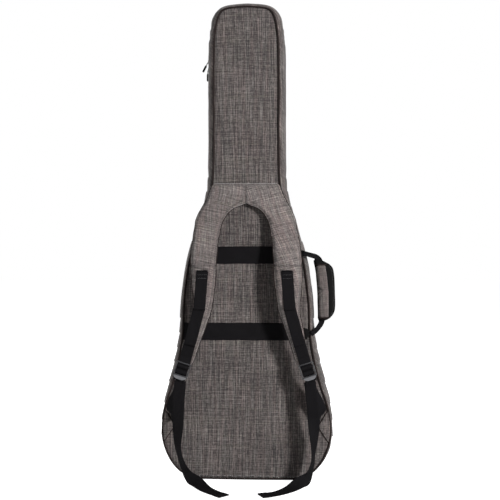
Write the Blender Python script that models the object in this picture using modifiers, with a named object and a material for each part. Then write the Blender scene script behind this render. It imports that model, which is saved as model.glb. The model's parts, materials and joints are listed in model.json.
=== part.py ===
"""A padded gig bag for an electric guitar, standing upright on its base.

Metres, +Z up. The back with the shoulder straps faces -Y, the pockets face +Y, and the
origin is the middle of the base. The rear half is fixed; the front half is a lid that
opens about the right side once the main zip is undone.
"""
import math

import bmesh
import bpy
import numpy as np
from mathutils import Vector

# ---------------------------------------------------------------- driving dimensions
BASE_HALF = 0.105            # half the flat of the base
SIDE = [                     # half outline of the shell above the base, as (x, z)
    (0.1415, 0.013), (0.1700, 0.044), (0.1875, 0.095), (0.182, 0.167), (0.160, 0.255),
    (0.1485, 0.319), (0.1448, 0.384), (0.1325, 0.474), (0.108, 0.559), (0.0885, 0.629),
    (0.0842, 0.689), (0.0838, 0.839), (0.0832, 0.929), (0.0800, 0.983), (0.0716, 1.017),
    (0.0600, 1.0320), (0.0400, 1.0393)]
TOP = 1.0425                 # height of the bag
INSET_Z = [0.0, 0.15, 0.22, 0.38, 0.50, 0.62, 0.97, TOP]
INSET = [0.0055, 0.008, 0.014, 0.011, 0.010, 0.015, 0.015, 0.016]
FLAT_RISE = 0.03             # height over which the gusset starts to bulge

FACE_Y = 0.052               # outer face of the back and front panels
ZIP_Y = 0.012                # plane of the main zip
ZIP_HALF = 0.009             # half width of the zip's recess
RECESS = 0.0018
GAP = 0.0003
CLOTH = 0.0017               # laminated shell fabric
FOAM = 0.014
LINING = 0.0012
SIDE_FOAM = 0.010
WALL = 0.0035                # gusset fabric with its binding, at the zip
PIPING_R = 0.0022

WEBBING = 0.0254
WEBBING_T = 0.0016
BAND = 0.0375                # height of the webbing bands
BAND_Z = [0.4885, 0.3228]
YOKE_TOP = 0.643
YOKE_SPLIT = 0.6030          # where the pads leave the yoke
PAD_BACK = -0.0552           # rear face of the yoke and of the pads' root
PAD_T = 0.013
STRAP_AXIS_Y = PAD_BACK - PAD_T - 0.0003

# right pad: (height, inner edge, outer edge, rear face); the left pad mirrors it
PAD = [
    (0.6010, 0.0030, 0.0935, -0.0552), (0.5870, 0.0275, 0.1005, -0.0565),
    (0.5690, 0.0420, 0.1085, -0.0605), (0.5490, 0.0495, 0.1125, -0.0660),
    (0.5060, 0.0565, 0.1180, -0.0770), (0.4675, 0.0588, 0.1185, -0.0850),
    (0.4300, 0.0610, 0.1165, -0.0890), (0.3950, 0.0655, 0.1120, -0.0905),
    (0.3650, 0.0715, 0.1115, -0.0905), (0.3350, 0.0815, 0.1200, -0.0890),
    (0.3000, 0.0945, 0.1290, -0.0860), (0.2680, 0.1060, 0.1350, -0.0835),
    (0.2470, 0.1150, 0.1290, -0.0820)]
PAD_WEBBING = [(0.0900, 0.4545), (0.0930, 0.4150), (0.0963, 0.3735), (0.1065, 0.3350),
               (0.1170, 0.2985), (0.1268, 0.2665)]
LOCK = (0.1330, 0.2440)      # middle of each ladder lock, as (x, z)
LOCK_ROLL = math.radians(18)
LOCK_W = 0.032
LOCK_T = 0.0050
LOCK_Y = -0.1000
LOCK_HALF = 0.014            # half height of the lock's frame

# free tails of the shoulder straps, down to the floor and along it
TAIL_LEFT = [
    (-0.1395, -0.1010, 0.2165), (-0.1440, -0.0975, 0.1700), (-0.1465, -0.0930, 0.1200),
    (-0.1465, -0.0905, 0.0780), (-0.1370, -0.0920, 0.0420), (-0.1220, -0.0990, 0.0155),
    (-0.1030, -0.1240, 0.0030), (-0.0785, -0.1710, 0.0012), (-0.0430, -0.2190, 0.0012)]
TAIL_RIGHT = [
    (0.1395, -0.1010, 0.2165), (0.1425, -0.0980, 0.1700), (0.1450, -0.0940, 0.1200),
    (0.1450, -0.0910, 0.0750), (0.1405, -0.0920, 0.0400), (0.1300, -0.0990, 0.0145),
    (0.1130, -0.1210, 0.0030), (0.0880, -0.1610, 0.0012), (0.0600, -0.1940, 0.0012),
    (0.0310, -0.2130, 0.0012)]
TAIL_STEPS = 3

# slack webbing from each lock back to its anchor tab, right side
SLACK = [(0.1420, -0.0915, 0.2180), (0.1560, -0.0850, 0.1960), (0.1690, -0.0765, 0.1720),
         (0.1710, -0.0700, 0.1530), (0.1640, -0.0670, 0.1400)]
TAB = [(0.1590, 0.1340), (0.1590, 0.1240), (0.1760, 0.0880), (0.1795, 0.0920),
       (0.1815, 0.1200), (0.1795, 0.1460)]
TAB_Y = -0.0605

HANDLE_Y = -0.0400
SEAM_Y = -0.0562             # level of the handle's ends, over the piping
GRIP_X = (0.1545, 0.1955)
GRIP_Z = (0.3450, 0.4730)
GRIP_T = 0.020
GRIP_CORNER = 0.024
GRIP_INNER = 0.006
# webbing from each end of the handle's swing axis to the grip, as (x, y, z)
UPPER_STRAP = [(0.1262, SEAM_Y, 0.4945), (0.1350, -0.0540, 0.4925),
               (0.1450, -0.0490, 0.4890), (0.1540, -0.0430, 0.4850), (0.1610, -0.0400, 0.4795)]
LOWER_STRAP = [(0.1430, SEAM_Y, 0.3185), (0.1500, -0.0540, 0.3215),
               (0.1570, -0.0490, 0.3260), (0.1625, -0.0430, 0.3330), (0.1650, -0.0400, 0.3395)]
STRAP_W = 0.018
STRAP_T = 0.0060
PATCH = (0.0160, 0.0020, 0.0300)     # size of the patch sewn under each end

SLIDER_Z = [0.9200, 0.9020]  # upper and lower slider of the main zip
SLIDER_X = -0.0866
PULL_TILT = math.radians(27)

CAVITY_Y = FACE_Y - CLOTH - FOAM - LINING - 3 * GAP
CRADLE_Z = (0.600, 0.655)
CRADLE_TOP = -0.006
NECK_SLOT = 0.029            # half width of the cradle's slot

POCKET_TOP = 0.490
POCKET_INSET = 0.016
POCKET_Y = (FACE_Y + GAP, 0.0770)
POCKET_WALL = 0.002
FLAP_Y = (0.0796, 0.0812)
POCKET_SLIDER_Z = 0.3900
NECK_POCKET_Z = (0.640, 0.960)
NECK_POCKET_HALF = 0.060


# ---------------------------------------------------------------- general helpers
def clear():
    for obj in list(bpy.data.objects):
        bpy.data.objects.remove(obj, do_unlink=True)


def new_collection(name):
    made = bpy.data.collections.new(name)
    bpy.context.scene.collection.children.link(made)
    return made


def principled(name, colour, roughness, metallic=0.0):
    made = bpy.data.materials.new(name)
    made.use_nodes = True
    shader = made.node_tree.nodes["Principled BSDF"]
    shader.inputs["Base Color"].default_value = (*colour, 1.0)
    shader.inputs["Roughness"].default_value = roughness
    shader.inputs["Metallic"].default_value = metallic
    made.diffuse_color = (*colour, 1.0)
    return made


def add(name, data, material, location=(0, 0, 0), rotation=(0, 0, 0), parent=None):
    obj = bpy.data.objects.new(name, data)
    data.materials.append(material)
    BAG.objects.link(obj)
    obj.rotation_euler = rotation
    obj.location = Vector(location)
    if parent is not None:
        obj.parent = parent
        obj.location = Vector(location) - parent.location
    return obj


def pivot(name, place):
    """An empty on a joint's axis; the pieces that move with the joint hang from it."""
    made = bpy.data.objects.new(name, None)
    made.empty_display_size = 0.02
    made.location = place
    BAG.objects.link(made)
    return made


def smooth(points, steps):
    """Points on a centripetal Catmull-Rom curve through the given points."""
    pts = [np.array(p, float) for p in points]
    pts = [2 * pts[0] - pts[1]] + pts + [2 * pts[-1] - pts[-2]]
    out = []
    for p0, p1, p2, p3 in zip(pts, pts[1:], pts[2:], pts[3:]):
        t1 = math.sqrt(np.linalg.norm(p1 - p0))
        t2 = t1 + math.sqrt(np.linalg.norm(p2 - p1))
        t3 = t2 + math.sqrt(np.linalg.norm(p3 - p2))
        for k in range(steps):
            t = t1 + (t2 - t1) * k / steps
            a1 = p0 * (t1 - t) / t1 + p1 * t / t1
            a2 = p1 * (t2 - t) / (t2 - t1) + p2 * (t - t1) / (t2 - t1)
            a3 = p2 * (t3 - t) / (t3 - t2) + p3 * (t - t2) / (t3 - t2)
            b1 = a1 * (t2 - t) / t2 + a2 * t / t2
            b2 = a2 * (t3 - t) / (t3 - t1) + a3 * (t - t1) / (t3 - t1)
            out.append(b1 * (t2 - t) / (t2 - t1) + b2 * (t - t1) / (t2 - t1))
    out.append(pts[-2])
    return out


def closed_mesh(name, rows, cap_ends):
    """A mesh through equal rows of points: a tube with capped ends, or a closed ring."""
    mesh = bpy.data.meshes.new(name)
    bm = bmesh.new()
    grid = [[bm.verts.new(p) for p in row] for row in rows]
    count = len(rows[0])
    pairs = list(zip(grid, grid[1:]))
    if not cap_ends:
        pairs.append((grid[-1], grid[0]))
    for one, two in pairs:
        for k in range(count):
            n = (k + 1) % count
            bm.faces.new((one[k], one[n], two[n], two[k]))
    if cap_ends:
        bm.faces.new(grid[0])
        bm.faces.new(grid[-1])
    bmesh.ops.recalc_face_normals(bm, faces=bm.faces)
    bm.to_mesh(mesh)
    bm.free()
    return mesh


def box(name, low, high, material, bevel=0.0, parent=None, tilt=(0, 0, 0), about=None):
    """A box between two corners; about is its origin, which a tilt turns it around."""
    low, high = Vector(low), Vector(high)
    origin = Vector(about) if about is not None else (low + high) / 2
    mesh = bpy.data.meshes.new(name)
    bm = bmesh.new()
    bmesh.ops.create_cube(bm, size=1.0)
    bmesh.ops.scale(bm, vec=high - low, verts=bm.verts)
    bmesh.ops.translate(bm, vec=(low + high) / 2 - origin, verts=bm.verts)
    bm.to_mesh(mesh)
    bm.free()
    made = add(name, mesh, material, origin, tilt, parent)
    if bevel:
        rounded = made.modifiers.new("edges", "BEVEL")
        rounded.width = bevel
        rounded.segments = 1
    return made


def plate(name, outlines, y0, y1, material, parent=None, place=(0, 0), roll=0.0):
    """A flat piece in the XZ plane; outlines after the first are its holes."""
    data = bpy.data.curves.new(name, "CURVE")
    data.dimensions = "2D"
    data.fill_mode = "BOTH"
    data.extrude = abs(y1 - y0) / 2
    for outline in outlines:
        line = data.splines.new("POLY")
        line.points.add(len(outline) - 1)
        for point, (x, z) in zip(line.points, outline):
            point.co = (x, z, 0, 1)
        line.use_cyclic_u = True
    where = (place[0], (y0 + y1) / 2, place[1])
    return add(name, data, material, where, (math.pi / 2, roll, 0), parent)


def ribbon(name, centres, sides, width, thickness, material, parent=None):
    """A flat strap along centres; sides are the directions of its width."""
    rows = []
    for k, (centre, side) in enumerate(zip(centres, sides)):
        before = Vector(centres[max(k - 1, 0)])
        after = Vector(centres[min(k + 1, len(centres) - 1)])
        across = Vector(side).normalized() * width / 2
        out = (after - before).cross(across).normalized() * thickness / 2
        middle = Vector(centre)
        rows.append([middle + across + out, middle - across + out,
                     middle - across - out, middle + across - out])
    return add(name, closed_mesh(name, rows, True), material, parent=parent)


# ---------------------------------------------------------------- outline of the bag
def shell_outline():
    """The shell's outline, anticlockwise seen from -Y, starting at the base's right end."""
    line = smooth([(BASE_HALF, 0.0)] + SIDE + [(0.0, TOP)], 2)
    right = [(float(x), float(max(z, 0.0))) for x, z in line]
    return right + [(-x, z) for x, z in reversed(right[:-1])]


def inward(outline):
    """Inward unit directions at the points of an anticlockwise outline."""
    out = []
    for k in range(len(outline)):
        x0, z0 = outline[k - 1]
        x1, z1 = outline[(k + 1) % len(outline)]
        long = math.hypot(x1 - x0, z1 - z0)
        out.append(((z0 - z1) / long, (x1 - x0) / long))
    return out


def inset_at(z):
    return float(np.interp(z, INSET_Z, INSET))


def offset(share, extra, least=0.0):
    """The shell's outline moved in by a share of the panel inset and a fixed amount."""
    moved = []
    for (x, z), (nx, nz) in zip(SHELL, NORMALS):
        rise = 1.0 if share > 0.9 else min(1.0, z / FLAT_RISE)
        depth = max(share * inset_at(z) * rise + extra, least)
        moved.append((x + nx * depth, z + nz * depth))
    return moved


def wall(name, stations, material, parent=None):
    """A ring round the bag whose section runs through stations (y, share, extra)."""
    rows = [[(x, y, z) for x, z in offset(share, extra)] for y, share, extra in stations]
    return add(name, closed_mesh(name, rows, False), material, parent=parent)


# ---------------------------------------------------------------- shell, rear and front
def gusset(name, sign, parent=None):
    """Side wall from a panel's edge to the zip, with a recess for the zip's tape."""
    edge = ZIP_Y - sign * GAP
    step = ZIP_Y - sign * ZIP_HALF
    stations = [
        (-sign * (FACE_Y - CLOTH - GAP), 1.0, 0.0), (-sign * 0.0415, 0.3, 0.0),
        (-sign * 0.0300, 0.0, 0.0), (step, 0.0, 0.0), (step, 0.0, RECESS),
        (edge, 0.0, RECESS), (edge, 0.0, WALL), (-sign * 0.0295, 0.0, WALL),
        (-sign * 0.0400, 0.3, WALL), (-sign * 0.0475, 1.0, CLOTH)]
    return wall(name, stations, FABRIC, parent)


def piping(name, y, parent=None):
    data = bpy.data.curves.new(name, "CURVE")
    data.dimensions = "3D"
    data.bevel_depth = PIPING_R
    data.bevel_resolution = 0
    line = data.splines.new("POLY")
    outline = offset(1.0, -PIPING_R - GAP)
    line.points.add(len(outline) - 1)
    for point, (x, z) in zip(line.points, outline):
        point.co = (x, y, z, 1)
    line.use_cyclic_u = True
    return add(name, data, CORD, parent=parent)


def half_shell(front, sign, parent=None):
    """The layers of one half: panel, foam, lining, gusset, its foam and lining, zip tape."""
    inner = FACE_Y - CLOTH - GAP
    foam_in = inner - FOAM
    lining_in = foam_in - GAP - LINING
    stand = inner - GAP / 3
    plate(front + "_panel", [offset(1.0, 0.0)], -sign * FACE_Y, -sign * (FACE_Y - CLOTH),
          FABRIC, parent)
    plate(front + "_foam", [offset(1.0, 0.005)], -sign * stand, -sign * foam_in,
          PADDING, parent)
    outer = WALL + GAP
    foamed = outer + SIDE_FOAM
    lined = foamed + GAP
    clear_of_side = lined + LINING + GAP
    plate(front + "_lining", [offset(1.0, GAP, clear_of_side)], -sign * (foam_in - GAP),
          -sign * lining_in, LINING_CLOTH, parent)
    half = {"back": "rear", "front": "front"}[front]
    gusset(half + "_gusset", sign, parent)
    y0 = -sign * (lining_in - GAP)
    y1 = ZIP_Y - sign * 2 * GAP
    wall(half + "_gusset_foam", [(y0, 0.2, outer), (-sign * 0.0285, 0, outer),
                                 (y1, 0, outer), (y1, 0, foamed), (y0, 0, foamed)],
         PADDING, parent)
    wall(half + "_gusset_lining", [(y0, 0, lined), (y1, 0, lined),
                                   (y1, 0, lined + LINING), (y0, 0, lined + LINING)],
         LINING_CLOTH, parent)
    tape0 = ZIP_Y - sign * (ZIP_HALF - GAP)
    wall(half + "_zip_tape", [(tape0, 0, GAP), (y1, 0, GAP), (y1, 0, RECESS - GAP),
                              (tape0, 0, RECESS - GAP)], ZIP_CLOTH, parent)
    piping(half + "_piping", -sign * (FACE_Y + GAP), parent)


def bands():
    for name, z in zip(("upper_band", "lower_band"), BAND_Z):
        low = z - BAND / 2
        half = min(edge_at(low), edge_at(z + BAND / 2)) - 0.002
        box(name, (-half, -FACE_Y - GAP - WEBBING_T, low),
            (half, -FACE_Y - GAP, low + BAND), WEB)


def edge_at(z):
    """Half width of the back panel at a height."""
    line = [(x, h) for x, h in offset(1.0, 0.0) if x > 0]
    heights = [h for x, h in line]
    return float(np.interp(z, heights, [x for x, h in line]))


# ---------------------------------------------------------------- straps
def pad_section(inner, outer, z, rear):
    """One level cut of a pad: a flat oval with its long faces to the front and rear."""
    front = rear - PAD_T
    round_x = min(0.005, (outer - inner) / 3)
    round_y = PAD_T * 0.3
    return [(inner, rear - round_y, z), (inner + round_x, rear, z),
            (outer - round_x, rear, z), (outer, rear - round_y, z),
            (outer, front + round_y, z), (outer - round_x, front, z),
            (inner + round_x, front, z), (inner, front + round_y, z)]


def yoke():
    rows = [pad_section(-x, x, z, PAD_BACK)
            for z, x in ((YOKE_TOP, 0.0720), (0.6250, 0.0820), (YOKE_SPLIT + GAP, 0.0925))]
    add("yoke", closed_mesh("yoke", rows, True), FABRIC)


def pad_front(z):
    """How far forward the outer face of a pad is at a height."""
    heights = [row[0] for row in reversed(PAD)]
    rears = [row[3] for row in reversed(PAD)]
    return float(np.interp(z, heights, rears)) - PAD_T


def lock_outlines():
    """Frame of a ladder lock with a round tongue below, and its two slots."""
    half = LOCK_W / 2
    tongue = [(half * 0.75 * math.cos(a), -LOCK_HALF - 0.010 * math.sin(a))
              for a in np.linspace(0, math.pi, 9)]
    frame = [(-half, -LOCK_HALF), (-half, LOCK_HALF), (half, LOCK_HALF),
             (half, -LOCK_HALF)] + tongue
    inner = half - 0.0028
    slots = [[(-inner, z), (inner, z), (inner, z + 0.0075), (-inner, z + 0.0075)]
             for z in (-0.0105, 0.0030)]
    return [frame] + slots


def strap(side, sign, tail):
    """A padded shoulder strap with its webbing, ladder lock and free tail."""
    root = pivot(side + "_strap_axis", (0, STRAP_AXIS_Y, YOKE_SPLIT))
    rows = [pad_section(inner, outer, z, rear) for z, inner, outer, rear in PAD]
    rows = [[(sign * x, y, z) for x, y, z in row] for row in rows]
    name = side + "_shoulder_pad"
    add(name, closed_mesh(name, rows, True), FABRIC, parent=root)

    line = [(sign * x, pad_front(z) - WEBBING_T / 2 - 0.0011, z) for x, z in PAD_WEBBING]
    ribbon(side + "_pad_webbing", line, [(1, 0, 0)] * len(line), WEBBING, WEBBING_T, WEB,
           root)

    lock_axis = pivot(side + "_lock_axis",
                      (sign * (LOCK[0] - 0.0045), LOCK_Y, LOCK[1] + LOCK_HALF))
    lock_axis.parent = root
    lock_axis.location = lock_axis.location - root.location
    place = Vector((sign * LOCK[0], LOCK_Y, LOCK[1]))
    name = side + "_ladder_lock"
    data = plate(name, lock_outlines(), -LOCK_T / 2, LOCK_T / 2, PLASTIC)
    data.parent = lock_axis
    data.location = place - lock_axis.location - root.location
    data.rotation_euler = (math.pi / 2, -sign * LOCK_ROLL, 0)

    route = [tuple(p) for p in smooth(tail, TAIL_STEPS)]
    ribbon(side + "_strap_tail", route, tail_sides(route), WEBBING, WEBBING_T, WEB, root)

    slack = [(sign * x, y, z) for x, y, z in SLACK]
    ribbon(side + "_lower_webbing", slack, [(0.94, -0.3, 0)] * 2 + [(0.8, -sign * 0.6, 0)]
           * (len(slack) - 2), WEBBING * 0.8, WEBBING_T, WEB)
    outline = [(sign * x, z) for x, z in TAB]
    plate(side + "_anchor_tab", [outline], TAB_Y, TAB_Y + 0.0022, FABRIC)


def tail_sides(route):
    """Width directions of a tail: level, and square to its run."""
    sides = []
    for k in range(len(route)):
        a, b = route[max(k - 1, 0)], route[min(k + 1, len(route) - 1)]
        run = Vector(b) - Vector(a)
        flat = Vector((run.x, run.y, 0))
        across = Vector((-flat.y, flat.x, 0))
        if across.x < 0:
            across = -across
        blend = min(1.0, max(0.0, (flat.length / run.length - 0.35) / 0.5))
        sides.append(Vector((1, 0, 0)).lerp(across.normalized(), blend))
    return sides


# ---------------------------------------------------------------- side handle
def grip_outline(margin=0.0):
    """The grip from behind: nearly square inside, with large outer corners."""
    x0, x1 = GRIP_X[0] + margin, GRIP_X[1] - margin
    z0, z1 = GRIP_Z[0] + margin, GRIP_Z[1] - margin
    corners = [(x0 + GRIP_INNER, z0 + GRIP_INNER, GRIP_INNER, 180),
               (x1 - GRIP_CORNER, z0 + GRIP_CORNER, GRIP_CORNER, 270),
               (x1 - GRIP_CORNER, z1 - GRIP_CORNER, GRIP_CORNER, 0),
               (x0 + GRIP_INNER, z1 - GRIP_INNER, GRIP_INNER, 90)]
    return [(x + r * math.cos(math.radians(a + 30 * k)),
             z + r * math.sin(math.radians(a + 30 * k)))
            for x, z, r, a in corners for k in range(4)]


def handle():
    ends = [Vector(LOWER_STRAP[0]), Vector(UPPER_STRAP[0])]
    root = pivot("handle_axis", (ends[0] + ends[1]) / 2)
    front = HANDLE_Y - GRIP_T / 2
    plate("handle_grip", [grip_outline()], front, front + GRIP_T, SLEEVE, root)
    wrap = [(0.1575, 0.3560), (0.1810, 0.3560), (0.1795, 0.4640), (0.1575, 0.4640)]
    plate("handle_wrap", [wrap], front - GAP - 0.0022, front - GAP, FABRIC, root)
    for name, line in (("upper", UPPER_STRAP), ("lower", LOWER_STRAP)):
        ribbon("handle_strap_" + name, line, [(0.2, 1, 0)] * len(line), STRAP_W,
               STRAP_T, WEB, root)
        end = Vector(line[0]) - Vector((PATCH[0] / 2 + 0.0022, 0, 0))
        half = Vector(PATCH) / 2
        box("handle_patch_" + name, end - half, end + half, WEB)


# ---------------------------------------------------------------- zips
def zip_slider(name, place, out, tilt, parent=None):
    """A slider and its pull. out is the direction away from the tape: -X or +Y."""
    size = Vector((0.0036, 0.0090, 0.0120)) if out == "-X" else Vector((0.009, 0.0036, 0.012))
    body = pivot(name + "_travel", place)
    if parent is not None:
        body.parent = parent
        body.location = Vector(place) - parent.location
    place = Vector(place)
    made = box(name + "_slider", place - size / 2, place + size / 2, METAL, 0.0008)
    made.parent = body
    made.location = (0, 0, 0)
    away = Vector((-1, 0, 0)) if out == "-X" else Vector((0, 1, 0))
    hinge = place + away * 0.0032 + Vector((0, 0, -0.0015))
    turn = pivot(name + "_pull_axis", hinge)
    turn.parent = body
    turn.location = hinge - place
    wide = Vector((0.0016, 0.0050, 0)) if out == "-X" else Vector((0.0050, 0.0016, 0))
    low = -wide / 2 + Vector((0, 0, -0.0240))
    high = wide / 2
    angle = (0, tilt, 0) if out == "-X" else (tilt, 0, 0)
    pull = box(name + "_pull", low, high, METAL, 0.0005, about=(0, 0, 0))
    pull.parent = turn
    pull.rotation_euler = angle


# ---------------------------------------------------------------- inside
def cradle():
    """Foam neck rest with a slot for the neck, and the strap that closes over it."""
    z0, z1 = CRADLE_Z
    half = 0.0655
    back = -CAVITY_Y + GAP
    outline = [(-half, back), (half, back), (half, CRADLE_TOP), (NECK_SLOT, CRADLE_TOP),
               (NECK_SLOT, back + 0.010), (-NECK_SLOT, back + 0.010),
               (-NECK_SLOT, CRADLE_TOP), (-half, CRADLE_TOP)]
    rows = [[(x, y, z) for x, y in outline] for z in (z0, z1)]
    add("neck_cradle", closed_mesh("neck_cradle", rows, True), PADDING)
    turn = pivot("neck_strap_axis", (-0.0600, CRADLE_TOP + 0.0010, sum(CRADLE_Z) / 2))
    low = (-0.0600, CRADLE_TOP + GAP, z0 + 0.015)
    high = (0.0600, CRADLE_TOP + 0.0018, z1 - 0.015)
    box("neck_strap", low, high, WEB, parent=turn, about=turn.location)


def bumper():
    """Foam block at the foot of the cavity, under the strap pin of the instrument."""
    floor = WALL + 2 * GAP + SIDE_FOAM + LINING + 0.0015
    box("end_pin_bumper", (-0.070, -CAVITY_Y + 0.001, floor),
        (0.070, ZIP_Y - 0.001, floor + 0.012), PADDING, 0.002)


# ---------------------------------------------------------------- pockets on the lid
def pocket_outline(extra):
    """The body pocket's outline: the shell's lower part, moved in, under a low arch."""
    line = [(x, z) for x, z in offset(1.0, POCKET_INSET + extra) if z < POCKET_TOP - 0.04]
    right = [(x, z) for x, z in line if x > 0]
    left = [(x, z) for x, z in line if x < 0]
    top = POCKET_TOP - extra
    edge = right[-1][0]
    arch = [(edge * math.cos(a) ** 0.6, right[-1][1] + (top - right[-1][1])
             * math.sin(a) ** 0.6) for a in np.linspace(0, math.pi / 2, 5)[1:-1]]
    arch = arch + [(0.0, top)] + [(-x, z) for x, z in reversed(arch)]
    return right + arch + left


def pocket_wall(name, y0, y1, extra, thick, material, parent):
    rows = [[(x, y, z) for x, z in pocket_outline(more)]
            for y, more in ((y0, extra), (y1, extra), (y1, extra + thick), (y0, extra + thick))]
    return add(name, closed_mesh(name, rows, False), material, parent=parent)


def pockets(lid):
    y0, y1 = POCKET_Y
    pocket_wall("body_pocket_gusset", y0, y1, 0.0, POCKET_WALL, FABRIC, lid)
    pocket_wall("body_pocket_zip", y1 + GAP, FLAP_Y[0] - 2 * GAP, 0.0, 0.008, ZIP_CLOTH, lid)
    foot = min(z for x, z in pocket_outline(0.0))
    turn = pivot("pocket_flap_axis", (0, FLAP_Y[0], foot))
    turn.parent = lid
    turn.location = Vector((0, FLAP_Y[0], foot)) - lid.location
    panel = plate("body_pocket_panel", [pocket_outline(0.001)], *FLAP_Y, FABRIC)
    panel.parent = turn
    panel.location = panel.location - Vector((0, FLAP_Y[0], foot))
    z0, z1 = NECK_POCKET_Z
    half = NECK_POCKET_HALF
    plate("neck_pocket_panel", [[(-half, z0), (half, z0), (half, z1 - 0.03),
                                 (half - 0.03, z1), (-half + 0.03, z1), (-half, z1 - 0.03)]],
          FACE_Y + GAP, FACE_Y + 0.0045, FABRIC, lid)
    box("neck_pocket_zip", (half - 0.018, FACE_Y + 0.0048, z0 + 0.02),
        (half - 0.004, FACE_Y + 0.0060, z1 - 0.05), ZIP_CLOTH, parent=lid)
    zip_slider("neck_pocket", (half - 0.011, FACE_Y + 0.0083, z1 - 0.065), "+Y", 0.0, lid)
    line = [(z, x) for x, z in pocket_outline(0.0) if x > 0 and z < POCKET_TOP - 0.05]
    half = float(np.interp(POCKET_SLIDER_Z, [z for z, x in line], [x for z, x in line]))
    place = (-half - 0.0023, y1 + 0.0012, POCKET_SLIDER_Z)
    zip_slider("body_pocket", place, "-X", 0.0, lid)


def hinge_strip():
    """The stretch of side wall that the lid turns on, where the zip stops."""
    line = [(x, z) for x, z in SHELL[:len(SHELL) // 2]]
    heights = [z for x, z in line]
    widths = [x for x, z in line]
    centres = [(float(np.interp(z, heights, widths)) + 0.0019, ZIP_Y - 0.0055, z)
               for z in np.linspace(0.062, 0.135, 5)]
    ribbon("fabric_hinge", centres, [(0, 1, 0)] * 5, 0.0095, 0.0012, WEB)


# ---------------------------------------------------------------- build
clear()
BAG = new_collection("padded_gig_bag")
FABRIC = principled("melange_fabric", (0.152, 0.129, 0.119), 0.9)
WEB = principled("black_webbing", (0.010, 0.010, 0.012), 0.75)
SLEEVE = principled("black_sleeve", (0.013, 0.013, 0.014), 0.85)
CORD = principled("black_piping", (0.018, 0.014, 0.013), 0.7)
ZIP_CLOTH = principled("zip_tape", (0.012, 0.012, 0.013), 0.8)
PLASTIC = principled("moulded_plastic", (0.035, 0.035, 0.036), 0.45)
METAL = principled("black_metal", (0.020, 0.020, 0.022), 0.35, 0.8)
PADDING = principled("closed_cell_foam", (0.10, 0.10, 0.11), 0.95)
LINING_CLOTH = principled("grey_lining", (0.055, 0.055, 0.060), 0.9)

SHELL = shell_outline()
NORMALS = inward(SHELL)

LID = pivot("lid_axis", (max(x for x, z in SHELL) + 0.0028, ZIP_Y, 0.1))
half_shell("back", 1)
half_shell("front", -1, LID)
bands()
yoke()
strap("left", -1, TAIL_LEFT)
strap("right", 1, TAIL_RIGHT)
handle()
for level, height, lean in zip(("upper", "lower"), SLIDER_Z, (PULL_TILT, 0.0)):
    zip_slider("main_" + level, (SLIDER_X, ZIP_Y, height), "-X", lean)
cradle()
bumper()
pockets(LID)
hinge_strip()
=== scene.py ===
"""Looks of the padded gig bag: fabric shell, cushions, webbing, zips and hardware.

Metres, +Z up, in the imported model's own frame. The back with the shoulder straps faces -Y.
"""

import json
import math

import bmesh
import bpy
import numpy as np
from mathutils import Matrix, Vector, kdtree, noise
from mathutils.bvhtree import BVHTree


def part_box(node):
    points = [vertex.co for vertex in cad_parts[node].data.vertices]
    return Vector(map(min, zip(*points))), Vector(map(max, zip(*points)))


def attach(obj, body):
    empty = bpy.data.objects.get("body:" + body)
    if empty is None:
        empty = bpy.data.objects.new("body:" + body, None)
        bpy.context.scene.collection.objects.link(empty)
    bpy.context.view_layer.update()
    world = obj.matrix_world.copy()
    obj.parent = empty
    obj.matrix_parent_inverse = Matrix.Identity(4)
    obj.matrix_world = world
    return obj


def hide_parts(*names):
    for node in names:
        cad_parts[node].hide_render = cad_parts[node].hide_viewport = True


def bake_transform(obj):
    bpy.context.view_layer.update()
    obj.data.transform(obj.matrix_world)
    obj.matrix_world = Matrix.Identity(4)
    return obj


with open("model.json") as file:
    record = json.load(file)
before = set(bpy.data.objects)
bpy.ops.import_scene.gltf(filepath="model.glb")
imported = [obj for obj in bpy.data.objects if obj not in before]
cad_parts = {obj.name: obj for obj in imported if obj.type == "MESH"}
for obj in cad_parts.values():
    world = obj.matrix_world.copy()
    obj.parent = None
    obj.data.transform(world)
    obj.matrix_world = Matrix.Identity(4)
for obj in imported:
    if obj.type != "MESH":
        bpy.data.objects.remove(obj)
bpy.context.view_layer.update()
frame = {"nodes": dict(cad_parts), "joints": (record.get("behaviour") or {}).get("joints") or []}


# ---------------------------------------------------------------- places from the frame
def low(node):
    return np.array(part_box(node)[0])


def high(node):
    return np.array(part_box(node)[1])


JOINTS = {joint["name"]: joint for joint in frame["joints"]}
FACE_Y = -low("back_panel")[1]
ZIP_Y = (high("rear_gusset")[1] + low("front_gusset")[1]) / 2
FRONT = (0.0, -1.0, 0.0)     # towards the camera
REAR = (0.0, 1.0, 0.0)
LEFTWARD = (-1.0, 0.0, 0.0)
CENTRE = (0.0, 0.40)         # (x, z) that every outline is seen whole from


# ---------------------------------------------------------------- small geometry kit
def unit(v):
    v = np.asarray(v, float)
    long = np.linalg.norm(v, axis=-1, keepdims=True)
    return v / np.maximum(long, 1e-12)


def spline(points, count, closed=False):
    """A smooth line through points, cut into count even steps."""
    p = np.array(points, float)
    if closed:
        p = np.vstack([p[-1], p, p[0], p[1]])
    else:
        p = np.vstack([2 * p[0] - p[1], p, 2 * p[-1] - p[-2]])
    t = np.linspace(0, 1, 12, endpoint=False)[:, None]
    out = []
    for k in range(1, len(p) - 2):
        a, b, c, d = p[k - 1:k + 3]
        out.append(0.5 * (2 * b + (c - a) * t + (2 * a - 5 * b + 4 * c - d) * t ** 2
                          + (3 * b - a - 3 * c + d) * t ** 3))
    dense = np.vstack(out + [p[-2:-1]])
    return even(dense, count, closed)


def distances(line):
    """How far along a line each of its points lies."""
    return np.r_[0, np.cumsum(np.linalg.norm(np.diff(line, axis=0), axis=1))]


def even(line, count, closed=False):
    """The same line cut into count even steps."""
    line = np.asarray(line, float)
    run = distances(line)
    want = np.linspace(0, run[-1], count + (1 if closed else 0))
    cut = np.stack([np.interp(want, run, line[:, k]) for k in range(line.shape[1])], axis=1)
    return cut[:-1] if closed else cut


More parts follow.
